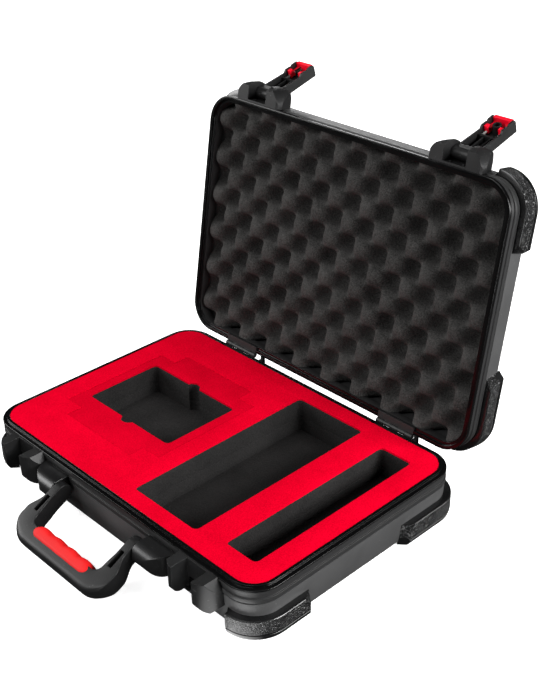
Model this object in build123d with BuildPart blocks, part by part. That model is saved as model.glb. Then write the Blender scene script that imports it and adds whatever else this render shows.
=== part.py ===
from build123d import *
import os
from math import asin, atan2, cos, degrees, hypot, radians, sin

# A moulded equipment case for pedals. It stands on its underside with the lid open.
# Millimetres. +Z is up, -Y is the front with the handle and the latches, +X is its right.
# The origin is the centre of the underside.

# ---- Driving dimensions -------------------------------------------------------------

# Case halves
case_width = 470.0          # outside the rim, left to right
case_depth = 320.0          # outside the rim, front to back
base_height = 60.0          # underside to rim
lid_height = 46.0           # rim to top
corner_radius = 36.0        # rim corner in plan
shell_wall = 3.0            # floor and top of the moulded shells
shell_draft = 3.5           # degrees that the shell sides lean in
shell_edge_radius = 6.0     # rounding along the underside and the top

# Rim section, measured inwards from the outside of the rim
rim_width = 8.5
shell_inset = 1.0           # shell side below the rim
neck_inset = 3.2            # outer side of the shell's neck, inside the rim frame
cavity_inset = 5.8          # inner side of the shell's neck
rim_height = 16.6
shadow_gap = 2.0            # groove between the rim frame and the shell's shoulder
upper_band = 4.6            # first raised band
middle_band = 6.6           # recessed band
band_depth = 1.6
edge_break = 0.5
neck_clearance = 0.1
base_web = 3.1              # solid top of the base rim frame
lid_web = 6.3               # solid top of the lid rim frame, which holds the groove
tongue_height = 3.0
tongue_width = 3.5
tongue_clearance = 0.3

# Corner guards
guard_outset = 7.0          # how far they stand out from the rim
guard_height = 26.0
guard_skirt = 7.0           # smooth band at the foot of the guard
guard_skirt_lean = 1.5
guard_groove = 0.8
guard_edge = 1.5
guard_front_arm = 38.0      # along the front face, beside the latch
guard_front_side_arm = 78.0     # along the end face, front corners
guard_rear_side_arm = 96.0  # along the end face, rear corners
guard_rear_arm = 60.0       # along the rear face
guard_end_slope = 6.0

# Foam in the base
foam_gap = 0.3
floor_pad = 12.0
lower_foam = base_height / 3  # its top stays below the rim frame
face_sheet = 3.0            # red sheet on top
face_rise = 2.5             # red face above the rim
pocket_corner = 6.0
pedal_width = 105.0
pedal_length = 260.0
pedal_x = 62.0
effects_width = 153.0
effects_length = 106.0
effects_depth = 42.0
effects_x = -106.5
effects_y = 3.0
finger_notch_radius = 11.5
finger_notch_depth = 7.0
accessory_width = 46.0
accessory_length = 242.0
accessory_depth = 40.0
accessory_x = 174.0
insert_width = 179.0
insert_length = 192.0
insert_x = -105.5
insert_y = 1.0
insert_notch_x = 28.0
insert_notch_y = 21.0
insert_gap = 0.3
insert_drop = 0.6           # how far its face lies below the red face

# Egg-crate foam in the lid
lid_foam_low = 4.5          # peaks, above the lid's rim plane

# Lid hinge
lid_open_angle = 100.0
hinge_out = 3.4             # hinge axis behind the rim
hinge_up = 0.6              # hinge axis above the parting plane
hinge_x = 135.0
hinge_length = 55.0
hinge_knuckles = 5
knuckle_radius = 3.0
knuckle_gap = 0.3
hinge_pin_radius = 1.5
running_clearance = 0.05
base_leaf_thickness = 2.2
base_leaf_drop = 16.4       # lower edge of the base leaf, below the rim
base_leaf_rivet_drop = 13.6
lid_leaf_reach = 8.4        # how far the lid leaf lies over the lid's rim
hinge_seat_reach = 9.5      # how far the leaves' seats run in from the rear
leaf_side_gap = 0.2
rivet_radius = 1.4
rivet_head_radius = 2.4
rivet_head_height = 0.9
hinge_rivets = 3
hinge_rivet_pitch = 20.0
stop_width = 4.0
stop_reach = 4.4            # how far the stop's face runs behind the hinge axis
stop_left_x = -96.0
stop_right_x = 166.0

# Latches
latch_x = 154.0
slot_half_width = 15.6
ear_half_width = 36.0
ear_reach = 24.0            # how far the ears stand out from the rim
ear_tip = 2.2               # width of the ear's front edge
ear_bulge_x = 31.0          # a point on the ear's curved outer side
ear_bulge_out = 16.0
ear_root = 6.0              # how far the ears are drawn back into the shell's side
plate_thickness = 2.4       # back plate against the rim
ear_gap = 0.6               # ears to the parting plane
ear_lead_in = 9.0           # where their front edge reaches its full reach
keeper_end_width = 29.0     # half width of the keeper at the parting plane
keeper_full_at = 13.0
housing_end_width = 25.0    # half width of the housing at its far end
housing_full_to = 10.0
keeper_height = 38.0
keeper_nose_start = 27.0    # where the keeper's nose starts to round off, from the parting plane
keeper_nose_middle = (20.5, 34.0)   # a point on the rounding: out from the rim, from the parting plane
keeper_nose_end = 12.0      # how far out the keeper's flat underside reaches
housing_height = 36.5
housing_near_reach = 20.0   # reach of the housing at the parting plane
housing_nose_start = 17.0
housing_nose_middle = (19.0, 30.0)
housing_nose_end = 9.0
latch_pivot_out = 11.0      # pivot in front of the rim
latch_pivot_up = 20.0       # pivot above the parting plane
latch_flip = 154.5          # degrees from shut to fully flipped up
latch_pin_radius = 2.0
latch_pin_bite = 5.4        # how far the pin goes into each ear
ledge_bottom = 27.0         # stop for the flipped arm, above the parting plane
arm_half_width = 15.0
arm_length = 70.0
arm_outer = 8.7             # outer face from the pivot
arm_root_radius = 7.2
arm_skin = 2.5
arm_wall = 2.4
arm_inner_root = 5.0        # inner edge of the side walls near the pivot
arm_inner_waist = 3.2
arm_inner_tip = 7.2
arm_waist_at = 44.0
arm_step_at = 47.0
arm_notch_at = 57.0
arm_end_slope = 2.0
arm_outer_edge = 1.6
arm_root_end = 8.0
rib_inner = 0.5
arm_rib_half_gap = 4.2
arm_rib_width = 1.4
arm_bulkhead_at = 37.0
arm_bulkhead = 2.3

# Release button, inside the latch arm, measured from the pivot along the arm
button_leg_inner = 7.2
button_leg_outer = 11.4
button_claw_at = 48.0
button_claw_thickness = 2.6
button_claw_tip = 2.6
button_thumb_at = 65.6
button_end_at = 70.6
button_half_width = 12.2
claw_inner = -5.5           # claws, outwards from the pivot
claw_outer = -3.1
claw_clearance = 0.4
leg_inner = -0.9
leg_outer = 4.5
thumb_inner = -6.6
thumb_outer = 6.0
button_dish = 1.0
spring_width = 2.6
spring_height = 2.6
spring_strip = 0.7          # thickness of its strip, measured across the slide
spring_folds = 6
spring_out = 1.8            # middle of the spring, outwards from the pivot

# Strike on the keeper
strike_plate = 1.5
strike_half_width = 12.2
strike_height = 12.0
strike_lip = 2.0
strike_edge = 1.6
strike_edge_out = 10.0      # outer side of the turned-up edge, from the rim
strike_edge_height = 3.0
strike_hook_inner = 6.9
strike_hook_outer = 11.7
strike_rivet_x = 4.5
strike_rivet_down = 28.5
housing_rivet_x = 9.0
housing_rivet_up = 8.0

# Key lock in the left latch, blank plug in the right one
lock_at = 56.0
lock_radius = 5.2
lock_inner = -5.2           # ends of the lock, outwards from the pivot
lock_flange = 0.8
lock_flange_gap = 0.02
lock_flange_height = 0.4
lock_turn_clearance = 0.06
lock_cam_width = 3.6        # raised bar across the barrel's inner end
lock_cam_depth = 1.8
keyway_length = 6.0
keyway_width = 1.2
keyway_depth = 3.0
plug_wall = 1.2
plug_depth = 7.0

# Handle
handle_pivot_out = 14.5
handle_pivot_up = 38.0      # above the underside
handle_reach = 72.0
handle_half_width = 82.5    # at the bar
handle_root_half_width = 74.0
handle_arm_inner = 60.5
handle_root_inner = 62.5
handle_flare_start = 15.0   # where the arms start to widen
handle_flare_end = 38.0
handle_top_half = 13.0      # upper face from the pin's axis
handle_under_half = 9.0     # lower face from the pin's axis
handle_boss_radius = 11.0
handle_under_edge = 7.0     # rounding of the bar's lower outer edge
handle_bar_inner = 47.0
handle_corner = 28.0        # outer corners of the bar, in plan
handle_inner_corner = 10.0
handle_edge = 2.5
handle_floor_clearance = 0.2
handle_pin_radius = 3.0
handle_pin_inner = 65.0
handle_pin_outer = 100.0
grip_half_length = 49.0
grip_low = 42.0
grip_high = 60.5
grip_overlap = 9.0
grip_core_top = 8.5
grip_core_under = 5.0
grip_proud = 1.2
grip_edge = 3.0
grip_waves = 4
grip_wave_depth = 2.2
arm_slot_width = 6.0
arm_slot_start = 13.0
arm_slot_end = 37.0
arm_slot_depth = 9.0
bracket_gap = 0.5
bracket_nose = 13.0         # radius round the pin
bracket_end = 117.5         # where it ends, beside the keeper
bracket_flat = 0.3          # flat part of its nose, as a share of its length
bracket_bulge = 0.78        # a point on its curved outer end: share of its length
bracket_bulge_out = 0.72    # and share of its reach
bracket_root = 5.0          # how far it is drawn back into the shell's side
bracket_lead = 3.0

# ---- Derived places -----------------------------------------------------------------

half_width = case_width / 2
half_depth = case_depth / 2
shoulder = rim_height + shadow_gap
tongue_outer = rim_width - tongue_width
groove_depth = tongue_height + tongue_clearance
groove_outer = tongue_outer - tongue_clearance
front = -half_depth
hinge_y = half_depth + hinge_out
hinge_z = base_height + hinge_up
face_top = base_height + face_rise
foam_bottom = shell_wall
lower_foam_bottom = foam_bottom + floor_pad
upper_foam_bottom = lower_foam_bottom + lower_foam
face_bottom = face_top - face_sheet
pivot_y = front - latch_pivot_out
plate_y = front - plate_thickness
foam_inset = rim_width + foam_gap
foam_wide_inset = cavity_inset + foam_gap
knuckle_pitch = hinge_length / hinge_knuckles
knuckle_length = knuckle_pitch - knuckle_gap
strike_edge_top = latch_pivot_up - button_claw_at - button_claw_thickness - claw_clearance
strike_lip_top = strike_edge_top - strike_edge_height
strike_bottom = strike_lip_top - strike_lip
handle_pivot_y = front - handle_pivot_out
grip_core = grip_low + grip_overlap

open_angle = radians(lid_open_angle)
lid_up = Vector(0, sin(open_angle), cos(open_angle))
lid_back = Vector(0, cos(open_angle), -sin(open_angle))
hinge_point = Vector(0, hinge_y, hinge_z)
lid_origin = hinge_point - lid_back * hinge_y - lid_up * hinge_up

# The rim planes. Their normals point away from the parting plane.
base_rim = Plane(origin=(0, 0, base_height), x_dir=(1, 0, 0), z_dir=(0, 0, -1))
lid_rim = Plane(origin=lid_origin, x_dir=(1, 0, 0), z_dir=lid_up)


def on_base(plane):
    """A plane given from the parting plane, in the base."""
    return Plane(Location((0, 0, base_height)) * plane.location)


def on_lid(plane):
    """A plane given in the closed case, from the parting plane, carried by the open lid."""
    return Plane(lid_rim.location * plane.location)


def on_latch(side, plane):
    """A plane given from the latch's pivot, with the arm shut along -Z, carried to its flipped place."""
    pivot = Location((side * latch_x, pivot_y, latch_pivot_up), (-latch_flip, 0, 0))
    return Plane(lid_rim.location * pivot * plane.location)


# The handle hangs until the rounded lower edge of its bar meets the floor.
edge_out = handle_reach - handle_under_edge
edge_down = handle_under_half - handle_under_edge
edge_drop = handle_pivot_up - handle_floor_clearance - handle_under_edge
handle_angle = degrees(asin(edge_drop / hypot(edge_out, edge_down)) - atan2(edge_down, edge_out))
handle_pose = Location((0, handle_pivot_y, handle_pivot_up), (handle_angle, 0, 0))


def on_handle(plane):
    """A plane given from the handle's pivot, with the handle level along -Y, carried to its rest."""
    return Plane(handle_pose * plane.location)


side_names = {-1: "left", 1: "right"}
os.makedirs("parts", exist_ok=True)


def keep(piece, name):
    """Label a finished piece and write its STEP file."""
    piece.part.label = name
    export_step(piece.part, f"parts/{name}.step")


def outline(inset, mode=Mode.ADD):
    """The case's plan outline, moved in from the outside of the rim."""
    RectangleRounded(case_width - 2 * inset, case_depth - 2 * inset, corner_radius - inset, mode=mode)


def closed_outline(plane, points):
    """A flat face on a plane, from the points of its closed outline."""
    with BuildSketch(plane) as profile:
        with BuildLine():
            Polyline(*points, close=True)
        make_face()
    return profile.sketch


# ---- Rivets -------------------------------------------------------------------------

def rivet_set(places, grip, countersunk=False):
    """Rivets on a list of planes. Each plane is the head's seat, and its normal points out."""
    with BuildPart() as rivets:
        for place in places:
            with BuildSketch(place):
                Circle(rivet_radius)
            extrude(amount=-grip)
            with BuildSketch(place):
                Circle(rivet_head_radius)
            if countersunk:
                extrude(amount=rivet_radius - rivet_head_radius, taper=45)
            else:
                extrude(amount=rivet_head_height, taper=30)
    return rivets


def facing(origin, normal):
    return Plane(origin=origin, x_dir=(1, 0, 0), z_dir=normal)


hinge_rivet_steps = [(i - (hinge_rivets - 1) / 2) * hinge_rivet_pitch for i in range(hinge_rivets)]
hinge_rivet_xs = [side * hinge_x + step for side in (-1, 1) for step in hinge_rivet_steps]
latch_rivet_xs = [(side * latch_x, step) for side in (-1, 1) for step in (-1, 1)]
leg_grip = neck_inset - neck_clearance - 0.2
strike_face_y = plate_y - strike_plate
base_leaf_back = half_depth + base_leaf_thickness
lid_leaf_face = tongue_clearance

keeper_rivets = rivet_set(
    [
        facing((x + step * strike_rivet_x, strike_face_y, base_height - strike_rivet_down), (0, -1, 0))
        for x, step in latch_rivet_xs
    ],
    grip=strike_plate + plate_thickness + cavity_inset - 1.5,
)
housing_rivets = rivet_set(
    [
        on_lid(facing((x + step * housing_rivet_x, plate_y, housing_rivet_up), (0, -1, 0)))
        for x, step in latch_rivet_xs
    ],
    grip=plate_thickness + leg_grip,
)
hinge_base_rivets = rivet_set(
    [facing((x, base_leaf_back, base_height - base_leaf_rivet_drop), (0, 1, 0)) for x in hinge_rivet_xs],
    grip=base_leaf_thickness + leg_grip,
    countersunk=True,
)
hinge_lid_rivets = rivet_set(
    [
        on_lid(facing((x, half_depth - lid_leaf_reach / 2, lid_leaf_face), (0, 0, -1)))
        for x in hinge_rivet_xs
    ],
    grip=lid_web - lid_leaf_face - 0.4,
    countersunk=True,
)
keep(keeper_rivets, "keeper_rivets")
keep(housing_rivets, "housing_rivets")
keep(hinge_base_rivets, "hinge_base_rivets")
keep(hinge_lid_rivets, "hinge_lid_rivets")


# ---- Shells -------------------------------------------------------------------------

def shell_body(rim, height):
    """Drafted outer body of one shell, solid, from its shoulder to its far face."""
    with BuildPart() as body:
        with BuildSketch(rim.offset(shoulder)):
            outline(shell_inset)
        extrude(amount=height - shoulder, taper=shell_draft)
        far_face = body.faces().sort_by(Axis((0, 0, 0), rim.z_dir))[-1]
        fillet(far_face.edges(), shell_edge_radius)
    return body.part


def shell_envelope(rim, height):
    """All that hardware on the outside must stay clear of: the body and the rim frame."""
    with BuildPart() as envelope:
        add(shell_body(rim, height))
        with BuildSketch(rim.offset(-tongue_height)):
            outline(0)
        extrude(amount=shoulder + tongue_height)
    return envelope.part


def make_shell(name, rim, height, web, rivets):
    """Outer body with its neck, hollowed, with the holes of the rivets that reach its side."""
    with BuildPart() as shell:
        add(shell_body(rim, height))
        neck_top = web + neck_clearance
        with BuildSketch(rim.offset(neck_top)):
            outline(neck_inset)
        extrude(amount=shoulder - neck_top)
        with BuildSketch(rim.offset(neck_top)):
            outline(cavity_inset)
        extrude(amount=height - shell_wall - neck_top, mode=Mode.SUBTRACT)
        add(rivets.part, mode=Mode.SUBTRACT)
    keep(shell, name)


make_shell("base_shell", base_rim, base_height, base_web, keeper_rivets)
make_shell("lid_shell", lid_rim, lid_height, lid_web, housing_rivets)
base_envelope = shell_envelope(base_rim, base_height)
lid_envelope = shell_envelope(lid_rim, lid_height)


# ---- Rim frames ---------------------------------------------------------------------

def rim_profile(web, inner_points):
    """Section of a rim frame: x is inwards from the outside, y is away from the parting plane."""
    channel_outer = neck_inset - neck_clearance
    channel_inner = cavity_inset + neck_clearance
    lower_band = upper_band + middle_band
    return [
        (edge_break, 0),
        (0, edge_break),
        (0, upper_band - edge_break),
        (band_depth, upper_band),
        (band_depth, lower_band),
        (0, lower_band + edge_break),
        (0, rim_height - edge_break),
        (edge_break, rim_height),
        (channel_outer, rim_height),
        (channel_outer, web),
        (channel_inner, web),
        (channel_inner, rim_height),
        (rim_width, rim_height),
    ] + inner_points


def make_rim(name, rim, web, inner_points, back, rivets):
    """Sweep the section round the rim, then cut the seats of the hinges.

    back is the rear's direction along the rim plane's own y axis."""
    with BuildSketch(rim) as plan:
        outline(0)
    path = plan.sketch.faces()[0].outer_wire()
    start = path @ 0
    along = path % 0
    inward = rim.z_dir.cross(along)
    if inward.dot(rim.origin - start) < 0:
        along = -along
        inward = -inward
    with BuildPart() as frame:
        with BuildSketch(Plane(origin=start, x_dir=inward, z_dir=along)):
            with BuildLine():
                Polyline(*rim_profile(web, inner_points), close=True)
            make_face()
        sweep(path=path)
        with BuildSketch(rim):
            with Locations(
                (-hinge_x, back * (half_depth - hinge_seat_reach / 2)),
                (hinge_x, back * (half_depth - hinge_seat_reach / 2)),
            ):
                Rectangle(hinge_length + 2 * leaf_side_gap, hinge_seat_reach)
        if back > 0:
            extrude(amount=groove_depth, mode=Mode.SUBTRACT)
        else:
            extrude(amount=-tongue_height, mode=Mode.SUBTRACT)
        for rivet_group in rivets:
            add(rivet_group.part, mode=Mode.SUBTRACT)
    keep(frame, name)


tongue_points = [(rim_width, -tongue_height), (tongue_outer, -tongue_height), (tongue_outer, 0)]
groove_points = [(rim_width, groove_depth), (groove_outer, groove_depth), (groove_outer, 0)]
make_rim("base_rim_frame", base_rim, base_web, tongue_points, back=-1, rivets=[hinge_base_rivets])
lid_frame_rivets = [hinge_lid_rivets, housing_rivets]
make_rim("lid_rim_frame", lid_rim, lid_web, groove_points, back=1, rivets=lid_frame_rivets)


# ---- Corner guards ------------------------------------------------------------------

def guard_layer(far_plane, low, high, outset_low, outset_high):
    """One layer of the guards' outer form. Heights are measured from the far face to the rim."""
    with BuildPart() as layer:
        with BuildSketch(far_plane.offset(low)):
            outline(-outset_low)
        with BuildSketch(far_plane.offset(high)):
            outline(-outset_high)
        loft()
    return layer.part


def guard_region(far_plane, right, ahead, side_arm, face_arm):
    """Plan outline of one guard: a corner block with its two ends cut on a slope."""
    reach = guard_outset + 1
    x_end = half_width - face_arm
    y_end = half_depth - side_arm
    slope = guard_end_slope
    points = [
        (x_end - slope, 0.7 * y_end),
        (x_end - slope, half_depth - slope),
        (x_end + slope, half_depth + reach),
        (half_width + reach, half_depth + reach),
        (half_width + reach, y_end + slope),
        (half_width - slope, y_end - slope),
        (half_width - slope, 0.7 * y_end),
    ]
    return closed_outline(far_plane, [(right * x, ahead * y) for x, y in points])


def make_guards(name, rim, height, envelope, front_sign):
    """Four guards. front_sign is the front's direction along the rim plane's own y axis."""
    far_plane = Plane(origin=rim.offset(height).origin, x_dir=(1, 0, 0), z_dir=-rim.z_dir)
    flip = -front_sign
    with BuildPart() as guards:
        groove_top = guard_skirt + guard_groove
        layers = [
            (0, guard_skirt, guard_outset - guard_skirt_lean, guard_outset),
            (guard_skirt, groove_top, guard_outset - guard_groove, guard_outset - guard_groove),
            (groove_top, guard_height - guard_edge, guard_outset, guard_outset),
            (guard_height - guard_edge, guard_height, guard_outset, guard_outset - guard_edge),
        ]
        for low, high, outset_low, outset_high in layers:
            add(guard_layer(far_plane, low, high, outset_low, outset_high))
        add(envelope, mode=Mode.SUBTRACT)
        regions = Sketch()
        for right in (-1, 1):
            regions += guard_region(far_plane, right, flip, guard_front_side_arm, guard_front_arm)
            regions += guard_region(far_plane, right, -flip, guard_rear_side_arm, guard_rear_arm)
        extrude(regions, amount=guard_height, mode=Mode.INTERSECT)
    keep(guards, name)


make_guards("base_corner_guards", base_rim, base_height, base_envelope, front_sign=1)
make_guards("lid_corner_guards", lid_rim, lid_height, lid_envelope, front_sign=-1)


# ---- Foam ---------------------------------------------------------------------------

def pocket(width, length, x, y=0.0, mode=Mode.ADD):
    with Locations((x, y)):
        RectangleRounded(width, length, pocket_corner, mode=mode)


def effects_pocket():
    pocket(effects_width, effects_length, effects_x, effects_y)
    notch_shift = effects_length / 2 + finger_notch_depth - finger_notch_radius
    with Locations((effects_x, effects_y - notch_shift), (effects_x, effects_y + notch_shift)):
        Circle(finger_notch_radius)


def insert_outline(gap):
    """Rectangle with its four corners notched out. gap makes it larger all round."""
    with Locations((insert_x, insert_y)):
        Rectangle(insert_width + 2 * gap, insert_length - 2 * insert_notch_y + 2 * gap)
        Rectangle(insert_width - 2 * insert_notch_x + 2 * gap, insert_length + 2 * gap)


with BuildPart() as foam_floor_pad:
    with BuildSketch(Plane.XY.offset(foam_bottom)):
        outline(foam_wide_inset)
    extrude(amount=floor_pad)
keep(foam_floor_pad, "foam_floor_pad")

with BuildPart() as foam_lower:
    with BuildSketch(Plane.XY.offset(lower_foam_bottom)):
        outline(foam_wide_inset)
    extrude(amount=lower_foam)
    with BuildSketch(Plane.XY.offset(lower_foam_bottom)):
        pocket(pedal_width, pedal_length, pedal_x)
    extrude(amount=lower_foam, mode=Mode.SUBTRACT)
    with BuildSketch(Plane.XY.offset(face_top - effects_depth)):
        effects_pocket()
    extrude(amount=effects_depth, mode=Mode.SUBTRACT)
    with BuildSketch(Plane.XY.offset(face_top - accessory_depth)):
        pocket(accessory_width, accessory_length, accessory_x)
    extrude(amount=accessory_depth, mode=Mode.SUBTRACT)
keep(foam_lower, "foam_lower")


def surround_layer(bottom, top):
    """A layer of the fixed foam round the insert, with the two long pockets."""
    with BuildPart() as layer:
        with BuildSketch(Plane.XY.offset(bottom)):
            outline(foam_inset)
            pocket(pedal_width, pedal_length, pedal_x, mode=Mode.SUBTRACT)
            pocket(accessory_width, accessory_length, accessory_x, mode=Mode.SUBTRACT)
        extrude(amount=top - bottom)
        with BuildSketch(Plane.XY.offset(bottom)):
            insert_outline(insert_gap)
        extrude(amount=top - bottom, mode=Mode.SUBTRACT)
    return layer


def insert_layer(bottom, top):
    """A layer of the removable insert, with the effects pocket through it."""
    with BuildPart() as layer:
        with BuildSketch(Plane.XY.offset(bottom)):
            insert_outline(0)
        extrude(amount=top - bottom)
        with BuildSketch(Plane.XY.offset(bottom)):
            effects_pocket()
        extrude(amount=top - bottom, mode=Mode.SUBTRACT)
    return layer


insert_top = face_top - insert_drop
keep(surround_layer(upper_foam_bottom, face_bottom), "foam_upper")
keep(surround_layer(face_bottom, face_top), "foam_face")
keep(insert_layer(upper_foam_bottom, insert_top - face_sheet), "insert_block")
keep(insert_layer(insert_top - face_sheet, insert_top), "insert_face")

with BuildPart() as lid_foam:
    with BuildSketch(lid_rim.offset(lid_foam_low)):
        outline(foam_inset)
    extrude(amount=lid_height - shell_wall - lid_foam_low)
keep(lid_foam, "lid_foam")


# ---- Hinges -------------------------------------------------------------------------

def knuckle_starts(side, first):
    start = side * hinge_x - hinge_length / 2 + knuckle_gap / 2
    return [start + i * knuckle_pitch for i in range(first, hinge_knuckles, 2)]


def make_base_leaf(side):
    first = side * hinge_x - hinge_length / 2
    outer = base_leaf_back
    plate_top = hinge_z - knuckle_radius - knuckle_gap
    plate_bottom = base_height - base_leaf_drop
    with BuildPart() as leaf:
        plate = [
            (half_depth, plate_bottom),
            (outer, plate_bottom),
            (outer, plate_top),
            (half_depth, plate_top),
        ]
        extrude(closed_outline(Plane.YZ.offset(first), plate), amount=hinge_length)
        inner = hinge_y - knuckle_radius
        neck = [(inner, plate_top - 1), (outer, plate_top - 1), (outer, hinge_z), (inner, hinge_z)]
        for start in knuckle_starts(side, 0):
            extrude(closed_outline(Plane.YZ.offset(start), neck), amount=knuckle_length)
            with BuildSketch(Plane.YZ.offset(start)):
                with Locations((hinge_y, hinge_z)):
                    Circle(knuckle_radius)
            extrude(amount=knuckle_length)
        with BuildSketch(Plane.YZ.offset(first)):
            with Locations((hinge_y, hinge_z)):
                Circle(hinge_pin_radius)
        extrude(amount=hinge_length, mode=Mode.SUBTRACT)
        add(hinge_base_rivets.part, mode=Mode.SUBTRACT)
    keep(leaf, f"hinge_base_leaf_{side_names[side]}")


def make_lid_leaf(side):
    first = side * hinge_x - hinge_length / 2
    low = lid_leaf_face
    high = groove_depth
    with BuildPart() as leaf:
        seat = half_depth - lid_leaf_reach
        plate = [(seat, low), (half_depth, low), (half_depth, high), (seat, high)]
        extrude(closed_outline(on_lid(Plane.YZ.offset(first)), plate), amount=hinge_length)
        neck = [(half_depth - 1, low), (hinge_y, low), (hinge_y, high), (half_depth - 1, high)]
        for start in knuckle_starts(side, 1):
            extrude(closed_outline(on_lid(Plane.YZ.offset(start)), neck), amount=knuckle_length)
            with BuildSketch(on_lid(Plane.YZ.offset(start))):
                with Locations((hinge_y, hinge_up)):
                    Circle(knuckle_radius)
            extrude(amount=knuckle_length)
        with BuildSketch(on_lid(Plane.YZ.offset(first))):
            with Locations((hinge_y, hinge_up)):
                Circle(hinge_pin_radius + running_clearance)
        extrude(amount=hinge_length, mode=Mode.SUBTRACT)
        add(hinge_lid_rivets.part, mode=Mode.SUBTRACT)
    keep(leaf, f"hinge_lid_leaf_{side_names[side]}")


def make_hinge_pin(side):
    with BuildPart() as pin:
        with BuildSketch(Plane.YZ.offset(side * hinge_x - hinge_length / 2)):
            with Locations((hinge_y, hinge_z)):
                Circle(hinge_pin_radius)
        extrude(amount=hinge_length)
    keep(pin, f"hinge_pin_{side_names[side]}")


for side in (-1, 1):
    make_base_leaf(side)
    make_lid_leaf(side)
    make_hinge_pin(side)


# ---- Lid stops ----------------------------------------------------------------------

def stop_face_point(along):
    """A point just under the open lid's rear face, at a distance along it from the hinge."""
    point = hinge_point - lid_back * (hinge_out - running_clearance) + lid_up * along
    return (point.Y, point.Z)


near_edge = stop_face_point(0.3)
far_edge = stop_face_point(stop_reach)
stop_top = base_height - 0.5
stop_points = [
    near_edge,
    far_edge,
    (far_edge[0], base_height - 9),
    (half_depth, base_height - rim_height),
    (half_depth, stop_top),
    (near_edge[0], stop_top),
]
with BuildPart() as lid_stops:
    for stop_x in (stop_left_x, stop_right_x):
        extrude(closed_outline(Plane.YZ.offset(stop_x - stop_width / 2), stop_points), amount=stop_width)
keep(lid_stops, "lid_stops")


# ---- Latch keepers and housings -----------------------------------------------------

def ear_plan(plane, side):
    """Plan of a back plate with an ear on each side of the latch's slot."""
    def point(across, out):
        return (side * latch_x + across, front - out)

    tip = slot_half_width + ear_tip
    right_curve = [point(ear_half_width, 0), point(ear_bulge_x, ear_bulge_out), point(tip, ear_reach)]
    left_curve = [point(-tip, ear_reach), point(-ear_bulge_x, ear_bulge_out), point(-ear_half_width, 0)]
    with BuildSketch(plane) as plan:
        with BuildLine():
            ThreePointArc(*right_curve)
            Polyline(
                point(tip, ear_reach),
                point(slot_half_width, ear_reach),
                point(slot_half_width, plate_thickness),
                point(-slot_half_width, plate_thickness),
                point(-slot_half_width, ear_reach),
                point(-tip, ear_reach),
            )
            ThreePointArc(*left_curve)
            Polyline(
                point(-ear_half_width, 0),
                point(-ear_half_width, -ear_root),
                point(ear_half_width, -ear_root),
                point(ear_half_width, 0),
            )
        make_face()
    return plan.sketch


def nose_outline(plane, height, near_reach, nose_start, nose_middle, nose_end):
    """Side outline of the ears. Heights run away from the parting plane."""
    def point(out, up):
        return (front - out, up)

    with BuildSketch(plane) as side_view:
        with BuildLine():
            Polyline(
                point(nose_end, height),
                point(-ear_root, height),
                point(-ear_root, ear_gap),
                point(near_reach, ear_gap),
                point(ear_reach, ear_lead_in),
                point(ear_reach, nose_start),
            )
            ThreePointArc(point(ear_reach, nose_start), point(*nose_middle), point(nose_end, height))
        make_face()
    return side_view.sketch


def front_outline(plane, side, half_widths):
    """Outline of the ears seen from the front, from (half width, height) pairs."""
    middle = side * latch_x
    right_half = [(middle + width, height) for width, height in half_widths]
    left_half = [(middle - width, height) for width, height in reversed(half_widths)]
    return closed_outline(plane, right_half + left_half)


def make_keeper(side):
    with BuildPart() as keeper:
        extrude(ear_plan(Plane.XY.offset(base_height - keeper_height), side), amount=keeper_height)
        down = on_base(Plane(origin=(0, 0, 0), x_dir=(0, 1, 0), z_dir=(-1, 0, 0)))
        nose = nose_outline(
            down, keeper_height, ear_reach, keeper_nose_start, keeper_nose_middle, keeper_nose_end
        )
        extrude(nose, amount=case_width, both=True, mode=Mode.INTERSECT)
        face_view = on_base(Plane(origin=(0, 0, 0), x_dir=(1, 0, 0), z_dir=(0, 1, 0)))
        widths = [
            (keeper_end_width, ear_gap),
            (ear_half_width, keeper_full_at),
            (ear_half_width, keeper_height - 4),
            (ear_half_width - 4, keeper_height),
        ]
        front_view = front_outline(face_view, side, widths)
        extrude(front_view, amount=case_depth, both=True, mode=Mode.INTERSECT)
        add(base_envelope, mode=Mode.SUBTRACT)
        add(keeper_rivets.part, mode=Mode.SUBTRACT)
    keep(keeper, f"keeper_{side_names[side]}")


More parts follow.
